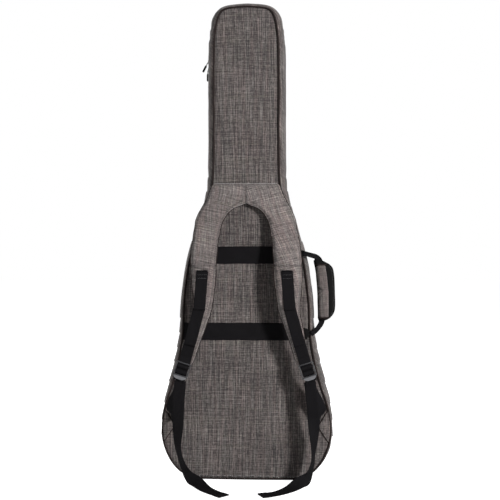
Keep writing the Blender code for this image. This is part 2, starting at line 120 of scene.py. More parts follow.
def length(line):
    return float(np.linalg.norm(np.diff(np.asarray(line, float), axis=0), axis=1).sum())


def ease(value, start, end):
    """0 at start, 1 at end, and level at both."""
    t = np.clip((np.asarray(value, float) - start) / (end - start), 0, 1)
    return t * t * (3 - 2 * t)


def smoothed(values, passes):
    """A row of numbers or points evened out, with its ends held."""
    values = np.array(values, float)
    for _ in range(passes):
        values[1:-1] = (values[:-2] + 2 * values[1:-1] + values[2:]) / 4
    return values


def squared(turn, power_x, power_y):
    """A unit circle pushed out towards a square; the lower the power, the squarer."""
    c, s = np.cos(turn), np.sin(turn)
    return np.sign(c) * abs(c) ** power_x, np.sign(s) * abs(s) ** power_y


def tree_of(line):
    """For looking up the nearest point of an (x, z) line."""
    tree = kdtree.KDTree(len(line))
    for number, (x, z) in enumerate(line):
        tree.insert((x, z, 0), number)
    tree.balance()
    return tree


def distance_to(tree, x, z):
    return np.array([tree.find((a, b, 0))[2] for a, b in zip(x, z)])


def placer(centre, across, down, out):
    """A function that steps from centre along three directions."""
    def at(u, v, w=0.0):
        return centre + across * u + down * v + out * w
    return at


def wobble(points, scale, seed=0.0, detail=2):
    """Smooth noise from -1 to 1 at points, in lumps of about 1/scale metres."""
    shift = Vector((seed * 7.13, seed * 3.71, seed * 5.57))
    return np.array([noise.fractal(Vector(p) * scale + shift, 0.9, 2.0, detail)
                     for p in np.asarray(points, float).reshape(-1, 3)])


def piece(name, points, faces, material, body=None, uv=None):
    """A smooth-shaded mesh object that rides body, where one is given."""
    mesh = bpy.data.meshes.new(name)
    mesh.from_pydata([tuple(map(float, p)) for p in points], [], faces)
    if uv is not None:
        layer = mesh.uv_layers.new(name="strip")
        corners = np.zeros(len(mesh.loops), np.int32)
        mesh.loops.foreach_get("vertex_index", corners)
        layer.data.foreach_set("uv", np.asarray(uv, np.float32)[corners].ravel())
    bm = bmesh.new()
    bm.from_mesh(mesh)
    bmesh.ops.recalc_face_normals(bm, faces=bm.faces)
    bm.to_mesh(mesh)
    bm.free()
    for face in mesh.polygons:
        face.use_smooth = True
    mesh.materials.append(material)
    made = bpy.data.objects.new(name, mesh)
    bpy.context.scene.collection.objects.link(made)
    if body:
        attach(made, body)
    return made


def woven(rows, closed=False, caps=True, ring=False):
    """Points and faces of rows of points; closed joins each row's ends, ring the rows'."""
    rows = np.asarray(rows, float)
    r, c = rows.shape[:2]
    faces = []
    for i in range(r if ring else r - 1):
        k = (i + 1) % r
        for j in range(c if closed else c - 1):
            m = (j + 1) % c
            faces.append((i * c + j, i * c + m, k * c + m, k * c + j))
    if closed and caps and not ring:
        faces.append(tuple(range(c)))
        faces.append(tuple(range((r - 1) * c, r * c)))
    return rows.reshape(-1, 3), faces


def gathered(solids):
    """Points and faces of many small solids, each given by its closed rows."""
    points, faces = [], []
    for rows in solids:
        some, sides = woven(rows, closed=True)
        faces += [tuple(len(points) + k for k in side) for side in sides]
        points += list(some)
    return points, faces


def frames(path, hint):
    """Side and out directions along a path; hint is near the out direction."""
    path = np.asarray(path, float)
    along = unit(np.gradient(path, axis=0))
    side = unit(np.cross(along, np.broadcast_to(np.asarray(hint, float), path.shape)))
    return side, unit(np.cross(side, along))


def tube(name, path, radius, material, body=None, closed=False, sides=8, hint=FRONT):
    """A round cord along a path, or round a closed one."""
    path = np.asarray(path, float)
    if closed:
        around = np.vstack([path[-1], path, path[0]])
        side, out = (v[1:-1] for v in frames(around, hint))
    else:
        side, out = frames(path, hint)
    turn = np.linspace(0, 2 * math.pi, sides, endpoint=False)
    rows = [[p + radius * (math.cos(a) * s + math.sin(a) * o) for a in turn]
            for p, s, o in zip(path, side, out)]
    points, faces = woven(rows, closed=True, ring=closed)
    return piece(name, points, faces, material, body)


STRAP_ACROSS = np.array([-1, -0.985, -0.93, -0.6, -0.2, 0.2, 0.6, 0.93, 0.985, 1])
STRAP_THICK = np.array([0.30, 0.72, 1, 0.96, 0.94, 0.94, 0.96, 1, 0.72, 0.30])
LONG_WAVE, SHORT_WAVE = 46.0, 113.0      # ripples of a strap, in radians per metre


def strap(name, path, hint, width, thick, material, body=None, hem=0.0, ripple=0.0):
    """Woven webbing along path; hint is near the direction out of its face."""
    path = np.asarray(path, float)
    side, out = frames(path, hint)
    run = distances(path)
    half = np.broadcast_to(width, (len(path),)) / 2
    rows, uv = [], []
    for k, p in enumerate(path):
        fat = thick * (2.0 if hem and run[-1] - run[k] < hem else 1.0)
        lift = ripple * math.sin(run[k] * LONG_WAVE) + ripple * math.sin(run[k] * SHORT_WAVE + 1.3)
        top = [p + side[k] * a * half[k] + out[k] * (fat * t / 2 + lift * a)
               for a, t in zip(STRAP_ACROSS, STRAP_THICK)]
        under = [p + side[k] * a * half[k] - out[k] * (fat * t / 2 - lift * a)
                 for a, t in zip(STRAP_ACROSS[::-1], STRAP_THICK)]
        rows.append(top + under)
        uv += [(a * half[k], run[k]) for a in (*STRAP_ACROSS, *STRAP_ACROSS[::-1])]
    points, faces = woven(rows, closed=True)
    return piece(name, points, faces, material, body, uv)


class Thread:
    """Gathers rows of stitches that end as one mesh."""

    def __init__(self):
        self.points, self.faces = [], []

    def row(self, line, out, pitch=0.0036, long=0.0026, thick=0.00042):
        line = np.asarray(line, float)
        count = max(2, int(length(line) / pitch))
        cut = even(line, 2 * count + 1)
        outs = np.broadcast_to(np.asarray(out, float), line.shape)
        run = np.linspace(0, 1, len(line))
        want = np.linspace(0, 1, len(cut))
        outs = unit(np.stack([np.interp(want, run, outs[:, k]) for k in range(3)], axis=1))
        for k in range(1, len(cut) - 1, 2):
            along = unit(cut[k + 1] - cut[k - 1])
            self.stitch(cut[k], along, outs[k], long, thick)

    def stitch(self, at, along, out, long, thick):
        side = unit(np.cross(along, out))
        base = len(self.points)
        self.points.append(at - along * long / 2 - out * thick * 0.8)
        for share, fat in ((-0.30, 0.9), (0.0, 1.15), (0.30, 0.9)):
            for turn in (0, 72, 144, 216, 288):
                a = math.radians(turn)
                self.points.append(at + along * share * long + fat * thick
                                   * (math.cos(a) * side + math.sin(a) * out))
        self.points.append(at + along * long / 2 - out * thick * 0.8)
        for j in range(5):
            m = (j + 1) % 5
            self.faces.append((base, base + 1 + j, base + 1 + m))
            for ring in (0, 5):
                self.faces.append((base + 1 + ring + j, base + 6 + ring + j,
                                   base + 6 + ring + m, base + 1 + ring + m))
            self.faces.append((base + 16, base + 11 + m, base + 11 + j))

    def sew(self, name, material, body=None):
        return piece(name, self.points, self.faces, material, body)


def onto(obj, out):
    """A function that drops a point on obj's surface, looking from far along out."""
    tree = BVHTree.FromObject(obj, bpy.context.evaluated_depsgraph_get())
    to_local = obj.matrix_world.inverted()
    out = Vector(out).normalized()

    def drop(point, lift=0.0):
        start = to_local @ (Vector(point) + out * 0.5)
        hit = tree.ray_cast(start, -out)[0]
        if hit is None:
            hit = tree.find_nearest(to_local @ Vector(point))[0]
        return np.array(obj.matrix_world @ hit + out * lift)

    return drop


CLOTH_STEPS = 20
CLOTH_SETTINGS = {"use_pressure": True, "quality": 5, "mass": 0.3, "tension_stiffness": 14.0,
                  "compression_stiffness": 14.0, "shear_stiffness": 7.0,
                  "bending_stiffness": 0.6, "air_damping": 4.0}


def cloth(obj, voxel, pressure, cap, held):
    """Swells obj like stuffed cloth, by no more than cap.

    held(points) says how much of its way each point may go, from 0 to 1.
    """
    remesh = obj.modifiers.new("even", "REMESH")
    remesh.mode = "VOXEL"
    remesh.voxel_size = voxel
    settle(obj, remesh)
    start = coordinates(obj)
    sim = obj.modifiers.new("swell", "CLOTH")
    for setting, value in CLOTH_SETTINGS.items():
        setattr(sim.settings, setting, value)
    sim.settings.uniform_pressure_force = pressure
    sim.settings.effector_weights.gravity = 0
    for step in range(1, CLOTH_STEPS + 1):
        bpy.context.scene.frame_set(step)
    swollen = obj.evaluated_get(bpy.context.evaluated_depsgraph_get())
    moved = coordinates(swollen, swollen.to_mesh())
    swollen.to_mesh_clear()
    obj.modifiers.remove(sim)
    bpy.context.scene.frame_set(1)
    way = moved - start
    far = np.linalg.norm(way, axis=1, keepdims=True)
    way *= np.minimum(1, cap / np.maximum(far, 1e-9))
    way *= np.asarray(held(start)).reshape(-1, 1)
    place(obj, start + way)


def coordinates(obj, mesh=None):
    mesh = mesh or obj.data
    co = np.zeros(len(mesh.vertices) * 3)
    mesh.vertices.foreach_get("co", co)
    return co.reshape(-1, 3)


def place(obj, points):
    obj.data.vertices.foreach_set("co", np.asarray(points, np.float32).ravel())
    obj.data.update()


def settle(obj, modifier):
    """Applies a modifier to the mesh."""
    with bpy.context.temp_override(object=obj, active_object=obj, selected_objects=[obj]):
        bpy.ops.object.modifier_apply(modifier=modifier.name)
    for face in obj.data.polygons:
        face.use_smooth = True


def thicken(obj, thickness, offset=-1.0):
    """Gives an open sheet its cloth's thickness."""
    shell = obj.modifiers.new("cloth", "SOLIDIFY")
    shell.thickness = thickness
    shell.offset = offset
    settle(obj, shell)


def face_to(obj, direction):
    """Turns an open sheet over if its middle face looks away from direction."""
    faces = obj.data.polygons
    if faces[len(faces) // 2].normal.dot(Vector(direction)) < 0:
        obj.data.flip_normals()


def subdivide(obj):
    finer = obj.modifiers.new("finer", "SUBSURF")
    finer.levels = finer.render_levels = 1
    settle(obj, finer)


def darken(obj, share):
    """Mark how deep in a groove, seam or fold each point lies; the canvas is painted darker there,
    as painted shade.
    """
    shade = obj.data.attributes.new("groove_shade", "FLOAT", "POINT")
    shade.data.foreach_set("value", np.clip(share, 0, 1).astype(np.float32))


# ---------------------------------------------------------------- camera and light
CAMERA_FAR = 2.40            # from the middle of the bag
CAMERA_SIDE = math.radians(3.6)
CAMERA_HIGH = 0.4996
VIEW_WIDE = 1.11             # width of the view at the middle of the bag
AIM_X = 0.0052
# name, place, point it looks at, diameter, watts
LIGHTS = [("key", (2.6, -2.5, 1.25), (0, 0, 0.5), 0.55, 235),
          ("fill", (-1.9, -2.6, 1.0), (0, 0, 0.5), 1.6, 4),
          ("top", (-0.2, -0.4, 3.2), (0, 0, 0.4), 1.6, 12),
          ("rear", (-1.6, 2.6, 1.6), (0, 0, 0.5), 1.4, 60),
          ("left", (-2.9, -0.75, 0.9), (0, 0, 0.5), 1.2, 55)]
WORLD_LIGHT = 0.05
FLOOR_SIZE = 30
FLOOR_GREY = 0.60            # as the light falls on it
FLOOR_GLOW = 0.97            # added where the camera looks straight at it


def camera():
    data = bpy.data.cameras.new("camera")
    data.sensor_width = 36.0
    data.lens = data.sensor_width * CAMERA_FAR / VIEW_WIDE
    data.clip_end = 50.0
    made = bpy.data.objects.new("camera", data)
    bpy.context.scene.collection.objects.link(made)
    made.location = (AIM_X + CAMERA_FAR * math.sin(CAMERA_SIDE),
                     -CAMERA_FAR * math.cos(CAMERA_SIDE), CAMERA_HIGH)
    made.rotation_euler = (math.pi / 2, 0, CAMERA_SIDE)
    bpy.context.scene.camera = made


def area_light(name, place, aim, size, power):
    data = bpy.data.lights.new(name, "AREA")
    data.shape = "DISK"
    data.size = size
    data.energy = power
    made = bpy.data.objects.new(name, data)
    bpy.context.scene.collection.objects.link(made)
    made.location = place
    made.rotation_euler = (Vector(aim) - Vector(place)).to_track_quat("-Z", "Y").to_euler()


def white_world():
    """White to the camera, and a faint even light to everything else."""
    world = bpy.data.worlds.new("studio")
    bpy.context.scene.world = world
    world.use_nodes = True
    tree = world.node_tree
    tree.nodes.clear()
    out = tree.nodes.new("ShaderNodeOutputWorld")
    path = tree.nodes.new("ShaderNodeLightPath")
    mix = tree.nodes.new("ShaderNodeMixShader")
    tree.links.new(path.outputs["Is Camera Ray"], mix.inputs[0])
    for number, strength in ((1, WORLD_LIGHT), (2, 1.0)):
        light = tree.nodes.new("ShaderNodeBackground")
        light.inputs["Color"].default_value = (1, 1, 1, 1)
        light.inputs["Strength"].default_value = strength
        tree.links.new(light.outputs[0], mix.inputs[number])
    tree.links.new(mix.outputs[0], out.inputs[0])


def pale_floor():
    bpy.ops.mesh.primitive_plane_add(size=FLOOR_SIZE)
    floor = bpy.context.object
    floor.name = "floor"
    pale = bpy.data.materials.new("floor_pale")
    pale.use_nodes = True
    tree = pale.node_tree
    shader = tree.nodes["Principled BSDF"]
    shader.inputs["Base Color"].default_value = (FLOOR_GREY, FLOOR_GREY, FLOOR_GREY, 1)
    shader.inputs["Roughness"].default_value = 0.9
    shader.inputs["Emission Color"].default_value = (1, 1, 1, 1)
    path = tree.nodes.new("ShaderNodeLightPath")
    glow = tree.nodes.new("ShaderNodeMath")
    glow.operation = "MULTIPLY"
    glow.inputs[1].default_value = FLOOR_GLOW
    tree.links.new(path.outputs["Is Camera Ray"], glow.inputs[0])
    tree.links.new(glow.outputs[0], shader.inputs["Emission Strength"])
    floor.data.materials.append(pale)


def studio():
    bpy.context.scene.view_settings.view_transform = "Standard"
    bpy.context.scene.view_settings.look = "None"
    white_world()
    for light in LIGHTS:
        area_light(*light)
    pale_floor()


# ---------------------------------------------------------------- material nodes
def scaled(colour, share):
    return tuple(c * share for c in colour)


class Paint:
    """A small builder for one procedural material."""

    def __init__(self, name, roughness=0.8, metallic=0.0, **sockets):
        self.material = bpy.data.materials.new(name)
        self.material.use_nodes = True
        self.tree = self.material.node_tree
        self.shader = self.tree.nodes["Principled BSDF"]
        self.shader.inputs["Roughness"].default_value = roughness
        self.shader.inputs["Metallic"].default_value = metallic
        for socket, value in sockets.items():
            self.shader.inputs[socket.replace("_", " ")].default_value = value

    def node(self, kind, **settings):
        made = self.tree.nodes.new(kind)
        for key, value in settings.items():
            setattr(made, key, value)
        return made

    def feed(self, socket, value):
        if isinstance(value, bpy.types.NodeSocket):
            self.tree.links.new(value, socket)
        else:
            socket.default_value = value

    def math(self, operation, one, two=0.0):
        made = self.node("ShaderNodeMath", operation=operation)
        self.feed(made.inputs[0], one)
        self.feed(made.inputs[1], two)
        return made.outputs[0]

    def plus(self, one, two):
        return self.math("ADD", one, two)

    def times(self, one, two):
        return self.math("MULTIPLY", one, two)

    def dot(self, vector, direction):
        made = self.node("ShaderNodeVectorMath", operation="DOT_PRODUCT")
        self.feed(made.inputs[0], vector)
        made.inputs[1].default_value = direction
        return made.outputs["Value"]

    def place(self):
        return self.node("ShaderNodeTexCoord").outputs["Object"]

    def uv(self, name):
        return self.node("ShaderNodeUVMap", uv_map=name).outputs["UV"]

    def flat(self, u, v, across, along):
        made = self.node("ShaderNodeCombineXYZ")
        self.feed(made.inputs[0], self.math("MULTIPLY", u, across))
        self.feed(made.inputs[1], self.math("MULTIPLY", v, along))
        return made.outputs[0]

    def noise(self, vector, scale=1.0, detail=2.0, rough=0.5):
        made = self.node("ShaderNodeTexNoise", noise_dimensions="3D")
        self.feed(made.inputs["Vector"], vector)
        made.inputs["Scale"].default_value = scale
        made.inputs["Detail"].default_value = detail
        made.inputs["Roughness"].default_value = rough
        return made.outputs["Fac"]

    def ramp(self, value, stops):
        made = self.node("ShaderNodeValToRGB")
        elements = made.color_ramp.elements
        while len(elements) < len(stops):
            elements.new(0.5)
        for element, (at, colour) in zip(elements, stops):
            element.position = at
            grey = colour if isinstance(colour, tuple) else (colour,) * 3
            element.color = (*grey, 1.0)
        self.feed(made.inputs[0], value)
        return made.outputs[0]

    def mix(self, share, one, two, how="MIX"):
        made = self.node("ShaderNodeMix", data_type="RGBA", blend_type=how)
        self.feed(made.inputs[0], share)
        for socket, value in ((made.inputs[6], one), (made.inputs[7], two)):
            self.feed(socket, value if isinstance(value, bpy.types.NodeSocket)
                      else (*value, 1.0))
        return made.outputs[2]

    def ribs(self, value, pitch):
        """0 to 1, rising and falling once in each pitch."""
        turn = self.math("MULTIPLY", value, 2 * math.pi / pitch)
        return self.math("MULTIPLY_ADD", self.math("SINE", turn), 0.5)

    def colour(self, value):
        self.feed(self.shader.inputs["Base Color"], value)

    def rough(self, value):
        self.feed(self.shader.inputs["Roughness"], value)

    def bump(self, height, distance, strength):
        made = self.node("ShaderNodeBump")
        made.inputs["Strength"].default_value = strength
        made.inputs["Distance"].default_value = distance
        self.feed(made.inputs["Height"], height)
        self.tree.links.new(made.outputs[0], self.shader.inputs["Normal"])


CANVAS_TONES = [(0.05, (0.016, 0.014, 0.014)), (0.30, (0.066, 0.057, 0.055)),
                (0.50, (0.142, 0.126, 0.119)), (0.70, (0.215, 0.196, 0.186)),
                (0.92, (0.290, 0.270, 0.257))]
# painted shade, laid into grooves, seams and folds where a mesh's shade mark is set
GROOVE_SHADE_COLOUR = (0.022, 0.019, 0.018)
THREAD = 0.0011              # from one thread of the canvas to the next
JOG = 0.25                   # how far a streak of colour jumps from thread to thread


def melange(name, tilt=0.0, tone=1.0, upright=0.62, contrast=1.8, edge=False):
    """Two-tone canvas: crossed slubby threads of grey, brown and a little green.

    tilt turns the weave, upright is the share of the upright threads, and edge maps it
    round the side wall. It's painted darker where the mesh's shade mark is set: painted shade in
    grooves and folds.
    """
    paint = Paint(name, 0.92, Sheen_Weight=0.25, Sheen_Roughness=0.5,
                  Specular_IOR_Level=0.25)
    place = paint.place()
    c, s = math.cos(tilt), math.sin(tilt)
    u = paint.dot(place, (0.0, 1.0, 0.0) if edge else (c, 0.83, s))
    v = paint.dot(place, (0.9, 0.0, 1.0) if edge else (-s, 0.21, c))

    def streaks(across, along, detail):
        return paint.noise(paint.flat(u, v, across, along), detail=detail)

    jog_v = paint.times(streaks(260, 0, 0), JOG)
    jog_u = paint.times(streaks(0, 260, 0), JOG)
    warp = paint.noise(paint.flat(u, paint.plus(v, jog_v), 520, 16), detail=2)
    weft = paint.noise(paint.flat(paint.plus(u, jog_u), v, 16, 560), detail=2)
    fine = paint.plus(streaks(760, 110, 1), streaks(110, 760, 1))
    over = paint.times(paint.ribs(u, THREAD), paint.ribs(v, THREAD))
    crossed = paint.plus(paint.times(warp, upright), paint.times(weft, 1.0 - upright))
    value = paint.plus(paint.times(crossed, 1.10 * contrast), paint.times(fine, 0.32 * contrast))
    value = paint.plus(value, paint.times(streaks(9, 6, 2), 0.18))
    value = paint.plus(value, paint.times(over, 0.14))
    value = paint.math("SUBTRACT", value, 0.87 * contrast - 0.175)
    grey = paint.ramp(value, [(at, scaled(colour, tone)) for at, colour in CANVAS_TONES])
    brown = paint.ramp(streaks(130, 9, 2), [(0.42, 0.0), (0.62, 1.0)])
    green = paint.ramp(streaks(8, 110, 2), [(0.50, 0.0), (0.68, 1.0)])
    tinted = paint.mix(paint.times(brown, 0.42), grey,
                       paint.mix(1.0, grey, (1.12, 0.90, 0.90), "MULTIPLY"))
    tinted = paint.mix(paint.times(green, 0.30), tinted,
                       paint.mix(1.0, tinted, (0.94, 1.03, 0.86), "MULTIPLY"))
    # painted shade: how deep in a groove or fold each point lies
    groove_shade = paint.node("ShaderNodeAttribute", attribute_name="groove_shade").outputs["Fac"]
    paint.colour(paint.mix(groove_shade, tinted, GROOVE_SHADE_COLOUR))
    paint.bump(paint.plus(paint.times(over, 0.6), paint.times(fine, 0.5)), 0.00045, 0.7)
    return paint.material


# ---------------------------------------------------------------- outlines of the shell
CORNERS = ((-1, -1), (1, -1), (1, 1), (-1, 1))


def vertices(node):
    return np.array([v.co for v in frame["nodes"][node].data.vertices], float)


def loop(node, y, count=420, outermost=False):
    """The (x, z) loop of a node at one level, anticlockwise as seen from -Y, evenly cut.

    outermost leaves out the points of an inner loop, and those just inside another one
    at the same height.
    """
    co = vertices(node)
    co = co[abs(co[:, 1] - y) < 2e-4][:, [0, 2]]
    co = np.unique(np.round(co, 6), axis=0)
    turn = np.arctan2(co[:, 1] - CENTRE[1], co[:, 0] - CENTRE[0])
    far = np.hypot(co[:, 0] - CENTRE[0], co[:, 1] - CENTRE[1])
    order = np.argsort(turn)
    co, turn, far = co[order], turn[order], far[order]
    if outermost:
        keep = [k for k in range(len(co))
                if far[k] >= far[abs(turn - turn[k]) < 0.004].max() - 0.0006]
        co = co[keep]
        further = abs(co[None, :, 0]) - abs(co[:, None, 0])
        level = abs(co[None, :, 1] - co[:, None, 1]) < 1e-4
        same_side = co[None, :, 0] * co[:, None, 0] > 0
        stepped = (level & same_side & (further > 1e-4) & (further < 0.004)).any(axis=1)
        co = co[~(stepped & (co[:, 1] > 0.1) & (co[:, 1] < 1.0))]
    return spline(co, count, closed=True)


def outward(line):
    """Outward unit directions of an anticlockwise (x, z) loop."""
    step = np.roll(line, -1, axis=0) - np.roll(line, 1, axis=0)
    return unit(np.stack([step[:, 1], -step[:, 0]], axis=1))


EDGE = loop("back_panel", -FACE_Y)                     # where the panel meets the piping
OUTER = loop("rear_gusset", float(low("rear_zip_tape")[1]) - 0.0003, outermost=True)
OUT_DIR = outward(OUTER)
TREE = tree_of(EDGE)
# the point of EDGE that each point of OUTER runs to, evened out
INNER = np.array([EDGE[TREE.find((x, z, 0))[1]] for x, z in OUTER])
for _ in range(6):
    INNER = (np.roll(INNER, 1, axis=0) + 2 * INNER + np.roll(INNER, -1, axis=0)) / 4

PANEL_CROWN = 0.0025         # how much the padding lifts the middle of a panel
EDGE_ROUND = 0.0060          # width of its rounded edge,
EDGE_DROP = 0.0016           # and how far that edge falls back
PANEL_RIPPLE = 0.00065
PANEL_PUCKER = 0.00035       # small puckers along the seam
SHELL_CLOTH = 0.0015
THIN_CLOTH = 0.0012
BAND_THICK = 0.0014
PIPING_SHARE = 0.86          # of the CAD piping's thickness
SIDE_FLAT = 0.027            # the side wall runs straight this far from the middle plane
SIDE_SWELL = 0.0011          # how far its cloth bulges,
SIDE_CREASE = 0.0007         # creases
SIDE_GATHER = 0.0004         # and puckers along the piping
TOP_SLACK = 0.0044           # how far it is drawn in at the top of the bag
FLOOR_GAP = 0.0002           # cloth stays this far above the floor
COIL_PITCH = 0.0021


def edge_distance(x, z):
    return TREE.find((x, z, 0))[2]


def panel_y(x, z, lift=0.0):
    """How far the padded panel's face stands out from the middle plane at (x, z)."""
    d = edge_distance(x, z)
    rise = 1 - (1 - min(1.0, d / EDGE_ROUND)) ** 2
    crown = PANEL_CROWN * float(ease(d, 0.0, 0.055))
    ripple = PANEL_RIPPLE * noise.noise(Vector((x * 17, 3.0, z * 15)))
    pucker = PANEL_PUCKER * noise.noise(Vector((x * 70, 9.0, z * 70)))
    pucker *= float(ease(d, 0.03, 0.0))
    fade = float(ease(d, 0.0, 0.012))
    return FACE_Y - EDGE_DROP + EDGE_DROP * rise + crown + (ripple + pucker) * fade + lift


HALF_LINE = EDGE[EDGE[:, 0] >= 0]
HALF_LINE = HALF_LINE[np.argsort(HALF_LINE[:, 1])]


def half_at(z):
    """Half the width of the panel at a height."""
    return float(np.interp(z, HALF_LINE[:, 1], HALF_LINE[:, 0]))


def panel(name, sign, material, body, node):
    """The quilted cover of one face, as rows across the bag."""
    right = EDGE[(EDGE[:, 0] > 0.0)]
    right = right[np.argsort(np.arctan2(right[:, 1] - CENTRE[1], right[:, 0]))]
    base = right[0]
    share = np.sin(np.linspace(-1, 1, 85) * math.pi / 2)
    rows = []
    for x, z in right:
        rows.append([(x * s, sign * panel_y(x * s, z), z) for s in share])
    rows.insert(0, [(base[0] * 0.985 * s, sign * panel_y(base[0] * s, EDGE[:, 1].min()),
                     EDGE[:, 1].min()) for s in share])
    points, faces = woven(rows)
    made = piece(name, points, faces, material)
    face_to(made, (0, sign, 0))
    thicken(made, SHELL_CLOTH)
    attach(made, body)
    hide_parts(node)


def side_wall(name, sign, material, body, node):
    """The gusset of one half, from the piping round the bulge to the zip's tape."""
    start = FACE_Y - 0.0020              # just under the panel's face
    tape = float(low("rear_zip_tape")[1]) if sign < 0 else float(high("front_zip_tape")[1])
    levels = np.r_[np.linspace(-start, -0.026, 13), np.linspace(-0.021, tape - 0.0012, 6)]
    if sign > 0:
        levels = np.r_[np.linspace(start, 0.028, 12), np.linspace(0.026, tape + 0.0012, 3)]
    total = abs(levels[-1] - levels[0])
    rows = []
    off_floor = ease(OUTER[:, 1], 0.001, 0.03)
    for y in levels:
        t = np.clip((abs(y) - SIDE_FLAT) / (start - SIDE_FLAT), 0, 1)
        share = 1 - math.sqrt(max(0.0, 1 - t ** 2.1))
        here = OUTER + (INNER - OUTER) * share
        spot = np.stack([here[:, 0], np.full(len(here), y), here[:, 1]], axis=1)
        across = abs(y - levels[0]) / total
        arch = math.sin(math.pi * across)
        swell = SIDE_SWELL * math.sin(math.pi * min(1.0, across * 1.05))
        crease = SIDE_CREASE * wobble(spot * (1, 0.55, 1), 26.0, 4.0) * arch
        gather = SIDE_GATHER * wobble(spot, 85.0, 6.0) * math.exp(-across / 0.16)
        slack = TOP_SLACK * ease(OUTER[:, 1], 1.002, 1.036) * arch
        puff = (swell + crease + gather) * off_floor - slack
        rows.append([(x + d[0] * f, y, z + d[1] * f)
                     for (x, z), d, f in zip(here, OUT_DIR, puff)])
    # the edge by the zip is folded in: how far inward, and how far back over the wall
    for inset, back in ((0.0004, -0.0006), (0.0012, -0.0009), (0.0016, -0.0002),
                        (0.0016, 0.0120)):
        rows.append([(x - d[0] * inset, levels[-1] + sign * back, z - d[1] * inset)
                     for (x, z), d in zip(OUTER, OUT_DIR)])
    rows = [[(x, y, max(z, FLOOR_GAP)) for x, y, z in row] for row in rows]
    points, faces = woven(rows, closed=True, caps=False)
    made = piece(name, points, faces, material)
    thicken(made, THIN_CLOTH)
    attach(made, body)
    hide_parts(node)


def band(name, node, material, left=1.0, right=1.0):
    """Webbing sewn flat across the panel, out to its edge or to left and right of the middle."""
    z0, z1 = low(node)[2], high(node)[2]
    across = np.r_[-1, -0.99, -0.96, np.linspace(-0.85, 0.85, 9), 0.96, 0.99, 1]
    thick = np.r_[0.15, 0.75, 1.0, np.full(9, 0.95), 1.0, 0.75, 0.15] * BAND_THICK
    rows, uv = [], []
    for s in np.linspace(-1, 1, 91):
        row = []
        for a, t in zip(across, thick):
            z = (z0 + z1) / 2 + a * (z1 - z0) / 2
            x = s * min(half_at(z) - 0.0004, left if s < 0 else right)
            z += 0.00035 * noise.noise(Vector((x * 60, a, z0)))
            row.append((x, -panel_y(x, z, t + 0.0004), z))
            uv.append((a * (z1 - z0) / 2, x))
        rows.append(row)
    points, faces = woven(rows)
    made = piece(name, points, faces, material, uv=uv)
    face_to(made, FRONT)
    thicken(made, THIN_CLOTH)
    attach(made, "root")
    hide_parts(node)


def piping(name, sign, material, body, node):
    """The cord in the seam between a panel and the side wall."""
    r = (high(node)[1] - low(node)[1]) / 2 * PIPING_SHARE
    centre = EDGE + outward(EDGE) * (r + 0.0003)
    y = sign * (abs(low(node)[1]) + abs(high(node)[1])) / 2
    path = [(x, y + 0.0003 * noise.noise(Vector((x * 40, 0, z * 40))), max(z, r + 0.0003))
            for x, z in centre]
    made = tube(name, path, r, material, body, closed=True, sides=10)
    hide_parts(node)


def tape_and_coil(name, sign, tape_material, coil_material, body, node):
    """Woven tape below the zip's slot, and one half of its nylon coil along the edge."""
    y0, y1 = float(low(node)[1]), float(high(node)[1])
    edge = y1 if sign < 0 else y0
    far = y0 - 0.002 if sign < 0 else y1 + 0.002
    rows = []
    for y, depth in ((far, 0.0011), (edge + sign * 0.0015, 0.0010), (edge, 0.0012),
                     (edge, 0.0018), (far, 0.0018)):
        rows.append([(x - d[0] * depth, y, max(z - d[1] * depth, 0.0006))
                     for (x, z), d in zip(OUTER, OUT_DIR)])
    points, faces = woven(rows, closed=True, caps=False)
    faces += [(4 * len(OUTER) + j, 4 * len(OUTER) + (j + 1) % len(OUTER),
               (j + 1) % len(OUTER), j) for j in range(len(OUTER))]
    made = piece(name, points, faces, tape_material, body)
    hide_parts(node)
    round_way = np.vstack([OUTER, OUTER[:1]])
    count = int(length(round_way) / COIL_PITCH)
    spots = even(round_way, count, closed=True)
    teeth = []
    hinge_low, hinge_high = low("fabric_hinge"), high("fabric_hinge")
    for (x, z), d in zip(spots, outward(spots)):
        if x > 0 and hinge_low[2] - 0.002 < z < hinge_high[2] + 0.002:
            continue
        along = np.array((-d[1], 0, d[0]))
        out = np.array((d[0], 0, d[1]))
        turn = 0.5 * COIL_PITCH * (1 if sign > 0 else 0)
        foot = np.array((x, edge, z)) - out * 0.0007 + along * turn
        foot[2] = max(foot[2], 0.0009)
        teeth.append([[foot + (0, y_off, 0) + along * a * fat * COIL_PITCH * 0.29
                       + out * (lift + b * 0.00042 * fat) for a, b in CORNERS]
                      for y_off, lift, fat in ((0.0025 * sign, -0.0002, 0.75),
                                               (0.0012 * sign, 0.0006, 1.0),
                                               (-0.0002 * sign, 0.0006, 1.0),
                                               (-0.0009 * sign, 0.0, 0.8))])
    points, faces = gathered(teeth)
    piece(name + "_coil", points, faces, coil_material, body)


# ---------------------------------------------------------------- shoulder cushions
CUSHION_TOP = 0.6465         # where both cushions are sewn across the panel
CUSHION_SEAM = -0.0075       # each reaches this far past the middle
RIM = 0.0062                 # from a cushion's edge to its stitched groove
CROSS_SEAM_Z = 0.4660
CUSHION_CAP = 0.0035         # how far the cloth may swell
CUSHION_WIDER = 0.0010       # past the CAD pad, on each side
RIM_THICK = 0.0015
GROOVE_DEEP = MIDDLE_DEEP = 0.0016
CROSS_DEEP = 0.0013
SEAT_DEEP = 0.0009           # how far the webbing presses into the pad
CREASE_DEEP = 0.0006


def stations(node):
    """(z, inner |x|, outer |x|, front y, rear y) of each level of a pad."""
    co = vertices(node)
    found = []
    for z in np.unique(np.round(co[:, 2], 4)):
        level = co[abs(co[:, 2] - z) < 2e-4]
        x = abs(level[:, 0])
        found.append((z, x.min(), x.max(), level[:, 1].min(), level[:, 1].max()))
    return found


